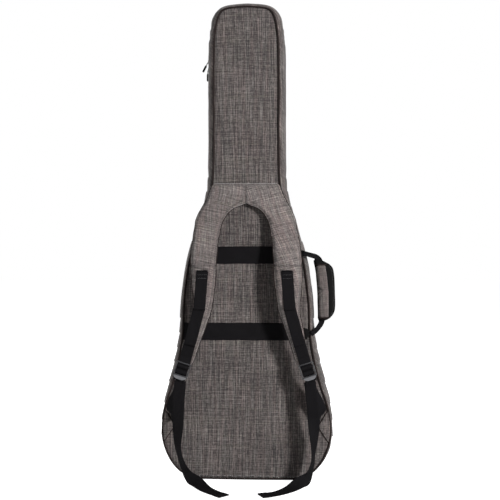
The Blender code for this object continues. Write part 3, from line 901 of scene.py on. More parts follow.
def cushion_line():
    """Stations of one cushion from the top seam down to its tip."""
    pads = sorted(stations("right_shoulder_pad"), reverse=True)
    yoke_y = (float(low("yoke")[1]), float(high("yoke")[1]))
    top = [(CUSHION_TOP, CUSHION_SEAM, 0.0700, -0.0600, yoke_y[1]),
           (CUSHION_TOP - 0.006, CUSHION_SEAM, 0.0738, yoke_y[0] + 0.001, yoke_y[1]),
           (0.6240, CUSHION_SEAM, 0.0812, yoke_y[0], yoke_y[1]),
           (0.6120, CUSHION_SEAM, 0.0878, yoke_y[0], yoke_y[1]),
           (0.6042, CUSHION_SEAM, 0.0915, yoke_y[0], yoke_y[1])]
    return spline([list(s) for s in top + pads], 136)


CUSHION = cushion_line()


# (height, how far the right cushion's outer edge stands past the left one's)
RIGHT_WIDER = [(0.290, 0.0), (0.330, 0.0055), (0.370, 0.0100), (0.413, 0.0100), (0.445, 0.0065),
               (0.478, 0.0050), (0.550, 0.0)]


def wider(side, z):
    heights, extra = zip(*RIGHT_WIDER)
    return np.interp(z, heights, extra) * (side == "right")


def cushion_edges(side):
    """Heights from the tip up, with |x| of the inner and outer edge at each."""
    z = CUSHION[::-1, 0]
    return z, CUSHION[::-1, 1], CUSHION[::-1, 2] + wider(side, z)


def cushion_body(side, sign, material):
    """Half of the yoke and one shoulder pad, stuffed but without its seams."""
    around = np.linspace(0, 2 * math.pi, 36, endpoint=False)
    rows = []
    for z, x_in, x_out, front, rear in CUSHION:
        x_out = x_out + float(wider(side, z))
        half, deep = (x_out - x_in) / 2 + CUSHION_WIDER, (rear - front) / 2
        tip = min(1.0, max(0.2, (z - CUSHION[-1, 0]) / 0.0045))
        half *= math.sqrt(tip)
        deep *= 0.90 * tip ** 0.35
        round_x, round_y = squared(around, 0.40, 0.50)
        x = (x_in + x_out) / 2 + half * round_x
        y = (front + rear) / 2 + deep * round_y
        rows.append(np.stack([sign * x, y, np.full(len(x), z)], axis=1))
    points, faces = woven(rows, closed=True)
    made = piece(side + "_cushion", points, faces, material)
    cloth(made, 0.0044, 4.0, CUSHION_CAP,
          held=lambda spots: 0.35 + 0.65 * ease(spots[:, 2], 0.642, 0.615))
    subdivide(made)
    return made


def between(z, share):
    """y at a height: 0 on the cushion's front face, 1 on its rear one."""
    return np.interp(z, CUSHION[::-1, 0],
                     (1 - share) * CUSHION[::-1, 3] + share * CUSHION[::-1, 4])


def press_seams(made, side, sign):
    """Presses the grooves, the webbing's seat and creases into the front face, and paints shade
    into the grooves and seams.
    """
    co = coordinates(made)
    z, inner, outer = cushion_edges(side)
    edge = np.concatenate([np.stack([inner, z], 1), np.stack([outer, z], 1)[::-1]])
    tree = tree_of(even(np.vstack([edge, edge[:1]]), 900))
    reach = distance_to(tree, sign * co[:, 0], co[:, 2])
    middle = between(co[:, 2], 0.5)
    front = ease(co[:, 1], middle + 0.001, middle - 0.003)
    groove = np.exp(-((reach - RIM) / 0.0013) ** 2) * (abs(co[:, 0]) > 0.006)
    across = np.exp(-((co[:, 2] - CROSS_SEAM_Z) / 0.0016) ** 2)
    middle_seam = np.exp(-(co[:, 0] / 0.0022) ** 2) * (co[:, 2] > 0.598)
    from_webbing = np.interp(co[:, 2], PAD_WEB_Z, PAD_WEB_X) - abs(co[:, 0])
    seat = (abs(co[:, 2] - 0.3550) < 0.1) * np.exp(-from_webbing ** 2 / 0.013 ** 2)
    creases = wobble(co * (1, 1, 0.55), 42.0, 11 + sign) * ease(reach, 0.004, 0.014)
    co[:, 1] += front * (GROOVE_DEEP * groove + CROSS_DEEP * across + SEAT_DEEP * seat
                         + CREASE_DEEP * creases + MIDDLE_DEEP * middle_seam)
    back_stop = np.array([-panel_y(x, level) - 0.0002 if level > 0.56 else 1.0
                          for x, _, level in co])
    co[:, 1] = np.minimum(co[:, 1], back_stop)
    place(made, co)
    # painted shade in the edge grooves, the cross seam and the middle seam
    darken(made, front * (0.62 * groove + 0.55 * across + 0.60 * middle_seam))


def back_with(made, backing):
    """Gives the rear part of a cushion its own cloth."""
    made.data.materials.append(backing)
    centres = np.zeros(len(made.data.polygons) * 3)
    made.data.polygons.foreach_get("center", centres)
    centres = centres.reshape(-1, 3)
    rear = centres[:, 1] > between(centres[:, 2], 0.60)
    made.data.polygons.foreach_set("material_index", rear.astype(np.int32))


def cushion_rim(made, side, sign, edging):
    """The rolled edge, laid on the cushion's own surface."""
    z, inner, outer = cushion_edges(side)
    down_side = np.stack([outer, z], 1)[::-1]
    up_side = np.stack([inner, z], 1)[inner > 0.0004]
    surface = BVHTree.FromObject(made, bpy.context.evaluated_depsgraph_get())
    path = [surface.find_nearest(Vector((sign * x, between(level, 0.45), level)))[0]
            for x, level in even(np.vstack([down_side[2:], up_side]), 300)]
    return tube(side + "_cushion_rim", smoothed(path, 3), RIM_THICK, edging)


def cushion_stitches(side, sign, drop, thread):
    """Rows in the grooves along both edges, and one above the cross seam."""
    sewn = Thread()
    z, inner, outer = cushion_edges(side)
    for line, shift in ((outer, -1), (inner, 1)):
        keep = (z > 0.292) & (z < CUSHION_TOP - 0.008)
        if shift > 0:
            keep &= (outer - inner > 0.026)
        slope = np.gradient(line, z)
        inset = RIM * np.sqrt(1 + np.minimum(slope, 2.2) ** 2)
        path = np.stack([sign * (line + shift * inset), np.full(len(z), -0.1), z], 1)[keep]
        sewn.row([drop(p, -0.0001) for p in even(path, 260)], FRONT)
    x0, x1 = np.interp(CROSS_SEAM_Z, z, inner) + RIM, np.interp(CROSS_SEAM_Z, z, outer) - RIM
    sewn.row([drop((sign * x, -0.1, CROSS_SEAM_Z + 0.0022)) for x in np.linspace(x0, x1, 40)],
             FRONT)
    return sewn.sew(side + "_cushion_stitches", thread)


def cushion(side, sign, material, backing, edging, thread):
    """One side's cushion; returns the function that drops a point on its front."""
    made = cushion_body(side, sign, material)
    press_seams(made, side, sign)
    back_with(made, backing)
    drop = onto(made, FRONT)
    rim = cushion_rim(made, side, sign, edging)
    stitched = cushion_stitches(side, sign, drop, thread)
    for one in (made, rim, stitched):
        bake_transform(one)
    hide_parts(side + "_shoulder_pad", "yoke")
    return drop


# ---------------------------------------------------------------- shoulder webbing
# the middle of the webbing on a pad, from its lower end up
PAD_WEB_X, PAD_WEB_Z = zip((0.1268, 0.2665), (0.1170, 0.2985), (0.1065, 0.3350),
                           (0.0963, 0.3735), (0.0930, 0.4150), (0.0900, 0.4550))
# its three lengths: start and end in (|x|, z), and how far the lower end lifts in a fold
PAD_WEB_RUNS = [(0.0900, 0.4548, 0.0963, 0.3720, 0.0036),
                (0.0962, 0.3760, 0.1176, 0.2965, 0.0036),
                (0.1168, 0.3010, 0.1262, 0.2690, 0.0)]
WEB_WIDE = 0.0254
WEB_THICK = 0.0015
LOCK_AT = (0.1340, -0.1000, 0.2440)


def pad_webbing(side, sign, drop, material, thread):
    """Webbing sewn down the cushion in three lengths that fold where it turns."""
    body = side + "_strap"
    share = np.linspace(0, 1, 26)
    for number, (x0, z0, x1, z1, lift) in enumerate(PAD_WEB_RUNS):
        path = np.stack([sign * (x0 + (x1 - x0) * share), np.full(26, -0.1),
                         z0 + (z1 - z0) * share], axis=1)
        path[:, 1] = smoothed([drop(p)[1] for p in path], 8)
        path[:, 1] = (np.minimum(path[:, 1], -0.0700) - WEB_THICK * 0.75 - lift * share ** 5)
        if number == 2:
            for x, z in ((0.1277, 0.2640), (0.1288, 0.2598)):
                y = min(drop((sign * x, -0.1, z), 0.0010)[1], LOCK_AT[1] - 0.0010)
                path = np.vstack([path, [(sign * x, y, z)]])
            path = np.vstack([path, [(sign * 0.1300, LOCK_AT[1] - 0.0012, 0.2550)]])
            path = spline(path[::4], 40)
        made = strap(f"{side}_pad_webbing_{number}", path, FRONT, WEB_WIDE, WEB_THICK,
                     material, body, ripple=0.00012)
        if number == 0:
            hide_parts(side + "_pad_webbing")
    fold = np.array([drop((sign * 0.0900 + s * 0.0115, -0.1, 0.4552), 0.0022)
                     for s in np.linspace(-1, 1, 9)])
    tube(side + "_webbing_fold", even(fold, 12), 0.0013, material, body)
    sewn = Thread()
    for z_row in (0.4470, 0.4395):
        row = [drop((sign * 0.0905 + s * 0.0100, -0.1, z_row), 0.0026)
               for s in np.linspace(-1, 1, 12)]
        sewn.row(row, FRONT, pitch=0.0030, long=0.0022, thick=0.0004)
    sewn.sew(side + "_webbing_stitches", thread, body)


def lock_axes(side):
    """Directions across, down and out of a lock, from the axis that it tilts on."""
    across = unit(np.array(JOINTS[side + "_lock_tilt"]["axis"], float))
    across = across if across[0] > 0 else -across
    out = np.array(FRONT)
    down = unit(np.cross(across, out))
    return across, down if down[2] < 0 else -down, out


def blocks(name, parts, axes, material, body=None, segments=3):
    """Rounded blocks joined as one piece; each is (centre, half sizes, radius)."""
    points, faces = [], []
    for centre, half, radius in parts:
        bm = bmesh.new()
        bmesh.ops.create_cube(bm, size=2.0)
        bmesh.ops.scale(bm, vec=half, verts=bm.verts)
        bmesh.ops.bevel(bm, geom=bm.edges[:], offset=radius, segments=segments,
                        profile=0.5, affect="EDGES")
        bm.verts.ensure_lookup_table()
        base = len(points)
        for v in bm.verts:
            points.append(np.array(centre, float) + np.array(v.co) @ np.array(axes, float))
        faces += [tuple(base + v.index for v in face.verts) for face in bm.faces]
        bm.free()
    return piece(name, points, faces, material, body)


def lock_lip(name, at, material, body):
    """The half-round tongue that is lifted to let go."""
    rows = []
    for s in np.linspace(0, 1, 7):
        v = 0.0142 + 0.0068 * s
        wide = 0.0136 * math.sqrt(max(0.05, 1 - (s * 0.93) ** 2.6))
        w = 0.0022 + 0.0030 * s
        fat = 0.0010 * (1 - 0.35 * s)
        u = np.linspace(-1, 1, 17)
        arch = 0.0004 * (1 - u ** 2)
        rows.append([at(wide * a, v, w + fat + b) for a, b in zip(u, arch)]
                    + [at(wide * a, v, w - fat) for a in u[::-1]])
    points, faces = woven(rows, closed=True)
    lip = piece(name, points, faces, material, body)
    soft = lip.modifiers.new("edges", "BEVEL")
    soft.width = 0.0004
    soft.segments = 2
    soft.angle_limit = math.radians(50)
    settle(lip, soft)


def ladder_lock(side, sign, plastic, gloss, webbing):
    """Moulded buckle: frame, two ribbed bars, lip, and the webbing wound through it."""
    axes = lock_axes(side)
    at = placer(np.array((sign * LOCK_AT[0], LOCK_AT[1], LOCK_AT[2])), *axes)
    body = side + "_lock"
    rails = [(at(u, -0.0005, 0.0002), (0.0012, 0.0150, 0.0024), 0.0009)
             for u in (-0.0149, 0.0149)]
    ends = [(at(0, -0.0147, 0.0004), (0.0160, 0.0013, 0.0022), 0.0009),
            (at(0, 0.0135, 0.0006), (0.0156, 0.0019, 0.0024), 0.0011)]
    made = blocks(side + "_lock_frame", rails + ends, axes, plastic, body)
    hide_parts(side + "_ladder_lock")
    bars = []
    for v in (-0.0072, 0.0052):
        bars.append((at(0, v, -0.0006), (0.0138, 0.0019, 0.0019), 0.0009))
        bars += [(at(rib, v, 0.0008), (0.00045, 0.0022, 0.0011), 0.0003)
                 for rib in np.linspace(-0.0122, 0.0122, 15)]
    blocks(side + "_lock_bars", bars, axes, plastic, body, segments=2)
    # the lip gets the lighter plastic: a painted highlight on the tongue
    lock_lip(side + "_lock_lip", at, gloss, body)
    # (down, out) through the lock's upper half, then back through its lower half
    loop_line = [(-0.0158, 0.0012), (-0.0142, 0.0002), (-0.0125, -0.0010), (-0.0085, 0.0020),
                 (-0.0045, 0.0022), (-0.0010, -0.0008), (0.0040, -0.0030), (0.0090, -0.0020)]
    return_line = [(0.0250, -0.0052), (0.0180, -0.0046), (0.0115, -0.0012), (0.0088, 0.0020),
                   (0.0045, 0.0026), (0.0015, 0.0012), (-0.0008, -0.0024)]
    for name, line, wide in (("_lock_loop", loop_line, 0.0252),
                             ("_lock_return", return_line, 0.0246)):
        path = spline([at(0, v, w) for v, w in line], 40)
        strap(side + name, path, FRONT, wide, 0.0013, webbing, body)


TAIL_PATHS = {
    "left": [(-0.1380, -0.0985, 0.2200), (-0.1418, -0.0975, 0.1700), (-0.1440, -0.0930, 0.1200),
             (-0.1440, -0.0905, 0.0780), (-0.1345, -0.0920, 0.0420), (-0.1190, -0.0990, 0.0155),
             (-0.0985, -0.1240, 0.0030), (-0.0715, -0.1710, 0.0012), (-0.0340, -0.2190, 0.0012)],
    "right": [(0.1385, -0.0985, 0.2200), (0.1445, -0.0980, 0.1700), (0.1475, -0.0940, 0.1200),
              (0.1470, -0.0910, 0.0750), (0.1430, -0.0920, 0.0400), (0.1330, -0.0990, 0.0145),
              (0.1170, -0.1210, 0.0030), (0.0940, -0.1610, 0.0012), (0.0680, -0.1940, 0.0012),
              (0.0400, -0.2130, 0.0012)]}
# how far each turns on its own length as it comes down
TAIL_TURN = {"left": math.radians(-58), "right": math.radians(74)}
TAIL_LOW = 0.0012            # its middle line where it lies on the floor


def strap_tail(side, material):
    """The loose end: hangs from the lock, turns on the floor and ends in a hem."""
    points = TAIL_PATHS[side]
    path = spline(points, 150)
    path[:, 2] = np.maximum(path[:, 2], TAIL_LOW)
    run = distances(path)
    turns = run[np.argmax(path[:, 2] < 0.055)]
    lies = run[np.argmax(path[:, 2] < 0.004)]
    flat = ease(run, turns - 0.012, lies + 0.095)[:, None]
    turn = TAIL_TURN[side] * (ease(path[:, 2], 0.16, 0.055)
                              * ease(run, lies + 0.08, turns))[:, None]
    hanging = np.array(FRONT) * np.cos(turn) + np.array((1.0, 0.0, 0.0)) * np.sin(turn)
    hint = unit((1 - flat) * hanging + flat * np.array((0.0, -0.15, 1.0)))
    # where it still leans, its lower edge is what rests on the floor
    lean = abs(np.cross(unit(np.gradient(path, axis=0)), hint)[:, 2]) * WEB_WIDE / 2
    path[:, 2] = smoothed(np.maximum(path[:, 2], TAIL_LOW + lean), 12)
    made = strap(side + "_tail", path, hint, WEB_WIDE, WEB_THICK, material,
                 side + "_strap", hem=0.020)
    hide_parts(side + "_strap_tail")


SLACK_PATH = [(0.1392, -0.0960, 0.2235), (0.1418, -0.0905, 0.2080), (0.1490, -0.0830, 0.1890),
              (0.1590, -0.0765, 0.1700), (0.1635, -0.0700, 0.1530), (0.1612, -0.0640, 0.1400),
              (0.1590, -0.0612, 0.1300)]


def lower_webbing(side, sign, material):
    """From the back of the lock out and down to the anchor tab in the side seam."""
    path = spline([(sign * x, y, z) for x, y, z in SLACK_PATH], 60)
    swing = 0.55 + 0.95 * ease(path[:, 2], 0.156, 0.132)
    hint = np.stack([sign * np.sin(swing), -np.cos(swing), np.full(60, 0.15)], 1)
    made = strap(side + "_slack", path, hint, WEB_WIDE * 0.96, WEB_THICK, material)
    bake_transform(made)
    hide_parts(side + "_lower_webbing")


def anchor_tab(side, sign, fabric, edging, thread):
    """Fabric triangle folded over the webbing's end and caught in the side seam."""
    z0, z1 = low(side + "_anchor_tab")[2], high(side + "_anchor_tab")[2]
    rows = []
    for t in np.linspace(0, 1, 13):
        z = z0 - 0.004 + (z1 - z0 + 0.008) * t
        tall = 1 - abs(2 * t - 1)
        x_far = half_at(z) + 0.0010
        x_near = x_far - 0.0010 - 0.0245 * tall ** 0.85
        row = []
        for s in np.linspace(0, 1, 11):
            x = x_near + (x_far - x_near) * s
            y = -panel_y(x, z) - 0.0012 - 0.0022 * math.sin(math.pi * min(1, s * 1.1)) * tall
            row.append((sign * x, y, z))
        rows.append(row)
    points, faces = woven(rows)
    made = piece(side + "_tab", points, faces, fabric)
    face_to(made, FRONT)
    thicken(made, 0.0018, offset=0.0)
    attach(made, "root")
    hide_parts(side + "_anchor_tab")
    rim = np.array([row[0] for row in rows])
    tube(side + "_tab_edge", even(rim, 40), 0.0013, edging, "root")
    sewn = Thread()
    sewn.row(rim + np.array((sign * 0.0038, -0.0016, 0)), FRONT, pitch=0.003,
             long=0.0022, thick=0.00035)
    sewn.sew(side + "_tab_stitches", thread, "root")


# ---------------------------------------------------------------- side handle
# the grip's outline in (x, z)
GRIP = [(0.1465, 0.4771), (0.1487, 0.4620), (0.1511, 0.4481), (0.1528, 0.4260),
        (0.1541, 0.4054), (0.1547, 0.3830), (0.1551, 0.3620), (0.1556, 0.3520),
        (0.1578, 0.3459), (0.1654, 0.3444), (0.1774, 0.3489), (0.1850, 0.3550),
        (0.1910, 0.3642), (0.1932, 0.3749), (0.1934, 0.3916), (0.1925, 0.4145),
        (0.1912, 0.4400), (0.1885, 0.4590), (0.1819, 0.4679), (0.1729, 0.4733),
        (0.1646, 0.4771), (0.1548, 0.4800)]
GRIP_Y = -0.0400
GRIP_HALF = 0.0085
WRAP_HALF = 0.0128
WRAP_SHIFT = 0.0005          # the wrap stands this far in front of the grip's middle
WRAP_POWER = 0.75            # how square its section is
WRAP_MIDDLE_Z = 0.4104
# painted shade: how dark a fold of the wrap is painted for each metre of its depth
FOLD_SHADE = 560             # darkness of a fold for each metre of its depth
HANDLE_STRAP_THICK = 0.0046
PATCH_Y, PATCH_HALF = -0.0572, 0.0011
# (height, inner x, outer x) down the wrap
WRAP = [(0.4672, 0.1514, 0.1729), (0.4480, 0.1529, 0.1762), (0.4298, 0.1545, 0.1789),
        (0.4100, 0.1556, 0.1803), (0.3916, 0.1562, 0.1809), (0.3700, 0.1568, 0.1808),
        (0.3535, 0.1571, 0.1804)]


# creases of the wrap: x, z, slope, half length, depth
WRAP_FOLDS = ((0.1590, 0.4165, -0.55, 0.0085, 0.0016), (0.1605, 0.4080, 0.75, 0.0075, 0.0012),
              (0.1625, 0.4010, 0.95, 0.0060, 0.0009), (0.1570, 0.4130, 0.20, 0.0060, 0.0010))
HANDLE_SEAM = [(0.1800, 0.4660), (0.1860, 0.4500), (0.1884, 0.4145), (0.1890, 0.3860),
               (0.1872, 0.3640), (0.1800, 0.3560)]
HANDLE_STRAPS = {"upper": [(0.1240, -0.0578, 0.4932), (0.1310, -0.0574, 0.4912),
                           (0.1397, -0.0540, 0.4886), (0.1500, -0.0470, 0.4855),
                           (0.1570, -0.0420, 0.4800), (0.1600, -0.0400, 0.4740)],
                 "lower": [(0.1408, -0.0586, 0.3186), (0.1448, -0.0580, 0.3203),
                           (0.1520, -0.0522, 0.3262), (0.1600, -0.0430, 0.3360),
                           (0.1636, -0.0405, 0.3440), (0.1640, -0.0400, 0.3500)]}
HANDLE_PATCHES = {"upper": [(0.1165, 0.4985), (0.1262, 0.4985), (0.1290, 0.4870),
                            (0.1195, 0.4848)],
                  "lower": [(0.1245, 0.3326), (0.1340, 0.3285), (0.1440, 0.3230),
                            (0.1365, 0.3130), (0.1297, 0.3045), (0.1270, 0.3180)]}


def rounded_plate(name, outline, y, half, material, crown):
    """A soft slab with fully rounded edges; outline is in (x, z)."""
    line = spline(outline, 150, closed=True)
    out = outward(line)
    if np.mean(np.sum(out * (line - line.mean(0)), 1)) < 0:
        out = -out
    centre = line.mean(0)

    def face(sign, shares):
        rings = []
        for share in shares:
            ring = (line - out * half) * (1 - share) + centre * share
            lift = sign * crown * math.sin(share * math.pi / 2)
            rings.append([(p[0], y + sign * half + lift, p[1]) for p in ring])
        return rings

    rim = []
    for a in np.radians(np.linspace(-90, 90, 15)):
        ring = line - out * half * (1 - math.cos(a))
        rim.append([(p[0], y + half * math.sin(a), p[1]) for p in ring])
    shares = (0.12, 0.3, 0.55, 0.85)
    points, faces = woven(face(-1, shares[::-1]) + rim + face(1, shares), closed=True)
    return piece(name, points, faces, material)


def handle_grip(sleeve):
    grip = rounded_plate("handle_sleeve", GRIP, GRIP_Y, GRIP_HALF, sleeve, crown=0.0010)
    co = coordinates(grip)
    co[:, 1] += 0.0006 * wobble(co, 55.0, 3.0)
    co[:, 0] += 0.0004 * wobble(co, 38.0, 8.0)
    place(grip, co)
    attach(grip, "handle")
    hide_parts("handle_grip")
    return grip


def wrap_ring(z, x0, x1, half, deep):
    """One level of the wrap's section."""
    round_x, round_y = squared(np.linspace(0, 2 * math.pi, 40, endpoint=False),
                               WRAP_POWER, WRAP_POWER)
    return np.stack([(x0 + x1) / 2 + half * round_x, GRIP_Y - WRAP_SHIFT + deep * round_y,
                     np.full(40, z)], axis=1)


def handle_wrap(fabric):
    """Canvas round the grip, stuffed, with the creases on its front and painted shade along them.
    """
    line = spline([list(w) for w in WRAP], 60)
    rows = []
    for k, (z, x0, x1) in enumerate(line):
        pinch = 0.93 + 0.07 * float(ease(min(k, len(line) - 1 - k), 0, 6))
        rows.append(wrap_ring(z, x0, x1, (x1 - x0) / 2, WRAP_HALF * pinch))
    points, faces = woven(rows, closed=True)
    wrap = piece("handle_wrap_pad", points, faces, fabric)
    cloth(wrap, 0.0030, 3.0, 0.0022,
          held=lambda spots: ease(abs(spots[:, 2] - WRAP_MIDDLE_Z), 0.0565, 0.045))
    subdivide(wrap)
    co = coordinates(wrap)
    shade = np.zeros(len(co))
    for x, z, slope, long, deep in WRAP_FOLDS:
        along = unit(np.array((1.0, slope)))
        d = co[:, [0, 2]] - (x, z)
        u, v = d @ along, d @ np.array((-along[1], along[0]))
        ends = np.exp(-(u / long) ** 4)
        fold = np.exp(-(v / 0.0011) ** 2) - 0.6 * np.exp(-((v - 0.0024) / 0.0014) ** 2)
        co[:, 1] += (co[:, 1] < GRIP_Y) * deep * fold * ends
        shade += FOLD_SHADE * deep * np.exp(-(v / 0.0016) ** 2) * ends
    co[:, 1] += 0.0004 * wobble(co, 90.0, 5.0)
    place(wrap, co)
    # painted shade along the wrap's folds
    darken(wrap, shade)
    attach(wrap, "handle")
    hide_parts("handle_wrap")


def handle(sleeve, fabric, webbing, black_thread, hem_cloth):
    """Grip, wrap with its hems, stitches, the two straps and the patches they're sewn to."""
    grip = handle_grip(sleeve)
    handle_wrap(fabric)
    for name, (z, x0, x1), push in (("upper", WRAP[0], 0.0006), ("lower", WRAP[-1], -0.0006)):
        hem = wrap_ring(z + push, x0, x1, (x1 - x0) / 2 + 0.0006, WRAP_HALF)
        tube("handle_hem_" + name, hem, 0.0016, hem_cloth, "handle", closed=True,
             hint=(0, 0, 1))
    drop = onto(grip, FRONT)
    sewn = Thread()
    sewn.row([drop(p, -0.0001) for p in spline([(x, GRIP_Y, z) for x, z in HANDLE_SEAM], 120)],
             FRONT, pitch=0.0032)
    sewn.sew("handle_stitches", black_thread, "handle")
    widths = np.interp(np.linspace(0, 1, 48), [0, 0.2, 0.6, 1], [0.0098, 0.0100, 0.0108, 0.013])
    for name, line in HANDLE_STRAPS.items():
        made = strap("handle_web_" + name, spline(line, 48), FRONT, widths,
                     HANDLE_STRAP_THICK, webbing, "handle")
        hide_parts("handle_strap_" + name)
    for name, corners in HANDLE_PATCHES.items():
        made = patch("handle_patch_cloth_" + name, corners, PATCH_Y, PATCH_HALF, sleeve)
        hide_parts("handle_patch_" + name)


def patch(name, corners, y, half, material):
    """A thin patch with the given corners and softly rounded edges."""
    ring = []
    for k, corner in enumerate(corners):
        a, b = np.array(corner), np.array(corners[(k + 1) % len(corners)])
        ring += [a + (b - a) * t for t in (0.08, 0.3, 0.5, 0.7, 0.92)]
    ring = np.array(ring)
    centre = ring.mean(0)
    rows = [[(p[0], y + half * level, p[1]) for p in centre + (ring - centre) * shrink]
            for level, shrink in ((1, 0.90), (0.7, 0.98), (0, 1.0), (-0.7, 0.98), (-1, 0.92),
                                  (-1.25, 0.5))]
    points, faces = woven(rows, closed=True)
    return piece(name, points, faces, material, "root")


# ---------------------------------------------------------------- sliders and pulls
def slider(name, node, along, out, material, body):
    """A zip slider: two plates, side cheeks and the bridge that holds the pull."""
    along, out = unit(along), unit(out)
    across = np.cross(along, out)
    at = placer((low(node) + high(node)) / 2, across, along, out)
    plates = [(at(0, 0, 0.0007), (0.0040, 0.0058, 0.0007), 0.0006),
              (at(0, 0.0030, 0.0007), (0.0044, 0.0026, 0.0007), 0.0006)]
    cheeks = [(at(u, 0, -0.0005), (0.0006, 0.0052, 0.0011), 0.0004) for u in (0.0037, -0.0037)]
    posts = [(at(0, v, 0.0017), (0.0009, 0.0010, 0.0009), 0.0004) for v in (0.0030, -0.0030)]
    bridge = [(at(0, 0, 0.0026), (0.0009, 0.0040, 0.0005), 0.0004)]
    made = blocks(name, plates + cheeks + posts + bridge, (across, along, out), material, body,
                  segments=2)
    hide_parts(node)


def pull(name, node, start, end, out, metal, rubber, body):
    """A tab that hangs from a slider: metal loop, then a ribbed moulded grip."""
    start, end = np.array(start, float), np.array(end, float)
    down = unit(end - start)
    out = unit(np.array(out, float) - down * np.dot(out, down))
    across = np.cross(down, out)
    axes = (across, down, out)
    at = placer(start, *axes)
    total = float(np.linalg.norm(end - start))
    head, foot = 0.0074, total           # the grip runs from head to foot
    bars = [(at(0, 0.0006), (0.0021, 0.0006, 0.0006), 0.0004),
            (at(0.0018, 0.0034), (0.0005, 0.0034, 0.0006), 0.0003),
            (at(-0.0018, 0.0034), (0.0005, 0.0034, 0.0006), 0.0003),
            (at(0, 0.0066), (0.0023, 0.0009, 0.0007), 0.0005)]
    made = blocks(name, bars, axes, metal, body, segments=2)
    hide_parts(node)
    grip = [(at(0, (head + foot) / 2), (0.0026, (foot - head) / 2, 0.0020), 0.0014)]
    grip += [(at(0, v), (0.0022, 0.0005, 0.0023), 0.0004)
             for v in np.linspace(0.0105, foot - 0.0025, 6)]
    blocks(name + "_grip", grip, axes, rubber, body, segments=2)


# ---------------------------------------------------------------- pockets on the front
POCKET_SEAM = 0.0085         # from the pocket's edge to its stitches
NECK_ZIP_X = 0.049


def cover(name, line, y, half, crown, sign, material, rows_high):
    """A closed padded sheet with a crowned face; line is its (x, z) loop."""
    right = line[line[:, 0] > 0.0]
    centre_z = line[:, 1].mean()
    right = right[np.argsort(np.arctan2(right[:, 1] - centre_z, right[:, 0]))]
    right = even(right, rows_high)
    tree = tree_of(line)
    share = np.sin(np.linspace(-1, 1, 61) * math.pi / 2)
    rows = []
    for x, z in right:
        front, back = [], []
        for s in share:
            d = tree.find((x * s, z, 0))[2]
            lift = half * (2 * float(ease(d, -0.004, 0.004)) - 1) + crown * float(ease(d, 0, 0.06))
            front.append((x * s, y + sign * lift, z))
            back.append((x * s, y - sign * half * (0.2 + 0.8 * float(ease(d, 0, 0.003))), z))
        rows.append(front + back[::-1])
    points, faces = woven(rows, closed=True)
    return piece(name, points, faces, material)


def ring_wall(name, line, levels, swell, lump, thick, material, body):
    """A strip of cloth that stands round a loop, through the (y, inset) levels."""
    out = outward(line)
    rows = []
    for y, inset in levels:
        t = (y - levels[0][0]) / (levels[-1][0] - levels[0][0])
        spot = np.stack([line[:, 0], np.full(len(line), y), line[:, 1]], axis=1)
        puff = (swell + lump * wobble(spot, 40.0, 2.0)) * math.sin(math.pi * t)
        rows.append([(x + d[0] * (f - inset), y, z + d[1] * (f - inset))
                     for (x, z), d, f in zip(line, out, puff)])
    points, faces = woven(rows, closed=True, caps=False)
    made = piece(name, points, faces, material)
    thicken(made, thick)
    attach(made, body)
    return made


def coil_line(name, path, out, material, body):
    """Both halves of a closed nylon coil along a line; out is one direction, or one a tooth."""
    spots = even(path, int(length(path) / COIL_PITCH))
    along = unit(np.gradient(spots, axis=0))
    outs = np.broadcast_to(np.asarray(out, float), spots.shape)
    sides = unit(np.cross(along, outs))
    teeth = []
    for k, (p, a, o, s) in enumerate(zip(spots, along, outs, sides)):
        way = 1 if k % 2 else -1
        teeth.append([[p + s * way * off + a * u * fat * COIL_PITCH * 0.34
                       + o * (lift + v * 0.0004 * fat) for u, v in CORNERS]
                      for off, lift, fat in ((0.0016, -0.0003, 0.7), (0.0008, 0.0005, 1.0),
                                             (-0.0004, 0.0005, 1.0))])
    points, faces = gathered(teeth)
    piece(name, points, faces, material, body)


def pocket_sides(kit):
    """The pocket's gusset with its foot piping, and the zip's tape and coil above it."""
    wall_line = loop("body_pocket_gusset", float(low("body_pocket_gusset")[1]), 300,
                     outermost=True)
    out = outward(wall_line)
    y0, y1 = float(low("body_pocket_gusset")[1]), float(high("body_pocket_gusset")[1])
    levels = [(y, 0.0) for y in np.linspace(y0 - 0.0006, y1 - 0.001, 12)] + [(y1, 0.0008)]
    made = ring_wall("pocket_wall", wall_line, levels, 0.0016, 0.0009, THIN_CLOTH,
                     kit["fabric"], "lid")
    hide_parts("body_pocket_gusset")
    tube("pocket_foot_piping", [(x, y0 + 0.0010, z) for x, z in wall_line + out * 0.0008],
         0.0015, kit["piping"], "lid", closed=True, hint=REAR)
    z0, z1 = float(low("body_pocket_zip")[1]), float(high("body_pocket_zip")[1])
    rim = float(high("body_pocket_panel")[1] + low("body_pocket_panel")[1]) / 2
    levels = [(y1 - 0.002, 0.0016), (z0, 0.0010), (z1 - 0.0001, 0.0009), (rim, 0.0011)]
    tape = ring_wall("pocket_tape", wall_line, levels, 0.0, 0.0, 0.0008, kit["tape"], "lid")
    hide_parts("body_pocket_zip")
    inner = wall_line - out * 0.0010
    keep = inner[:, 1] > 0.052           # the zip stops short of the pocket's foot
    start = int(np.argmax(~keep & np.roll(keep, -1))) + 1
    path = np.roll(inner, -start, axis=0)
    path = path[path[:, 1] > 0.052]
    path3 = np.stack([path[:, 0], np.full(len(path), (z0 + z1) / 2), path[:, 1]], axis=1)
    ways = outward(path)
    teeth = int(length(path3) / COIL_PITCH)
    ways = ways[np.linspace(0, len(ways) - 1, teeth).astype(int)]
    coil_line("pocket_coil", path3, np.stack([ways[:, 0], 0 * ways[:, 0], ways[:, 1]], 1),
              kit["coil"], "lid")


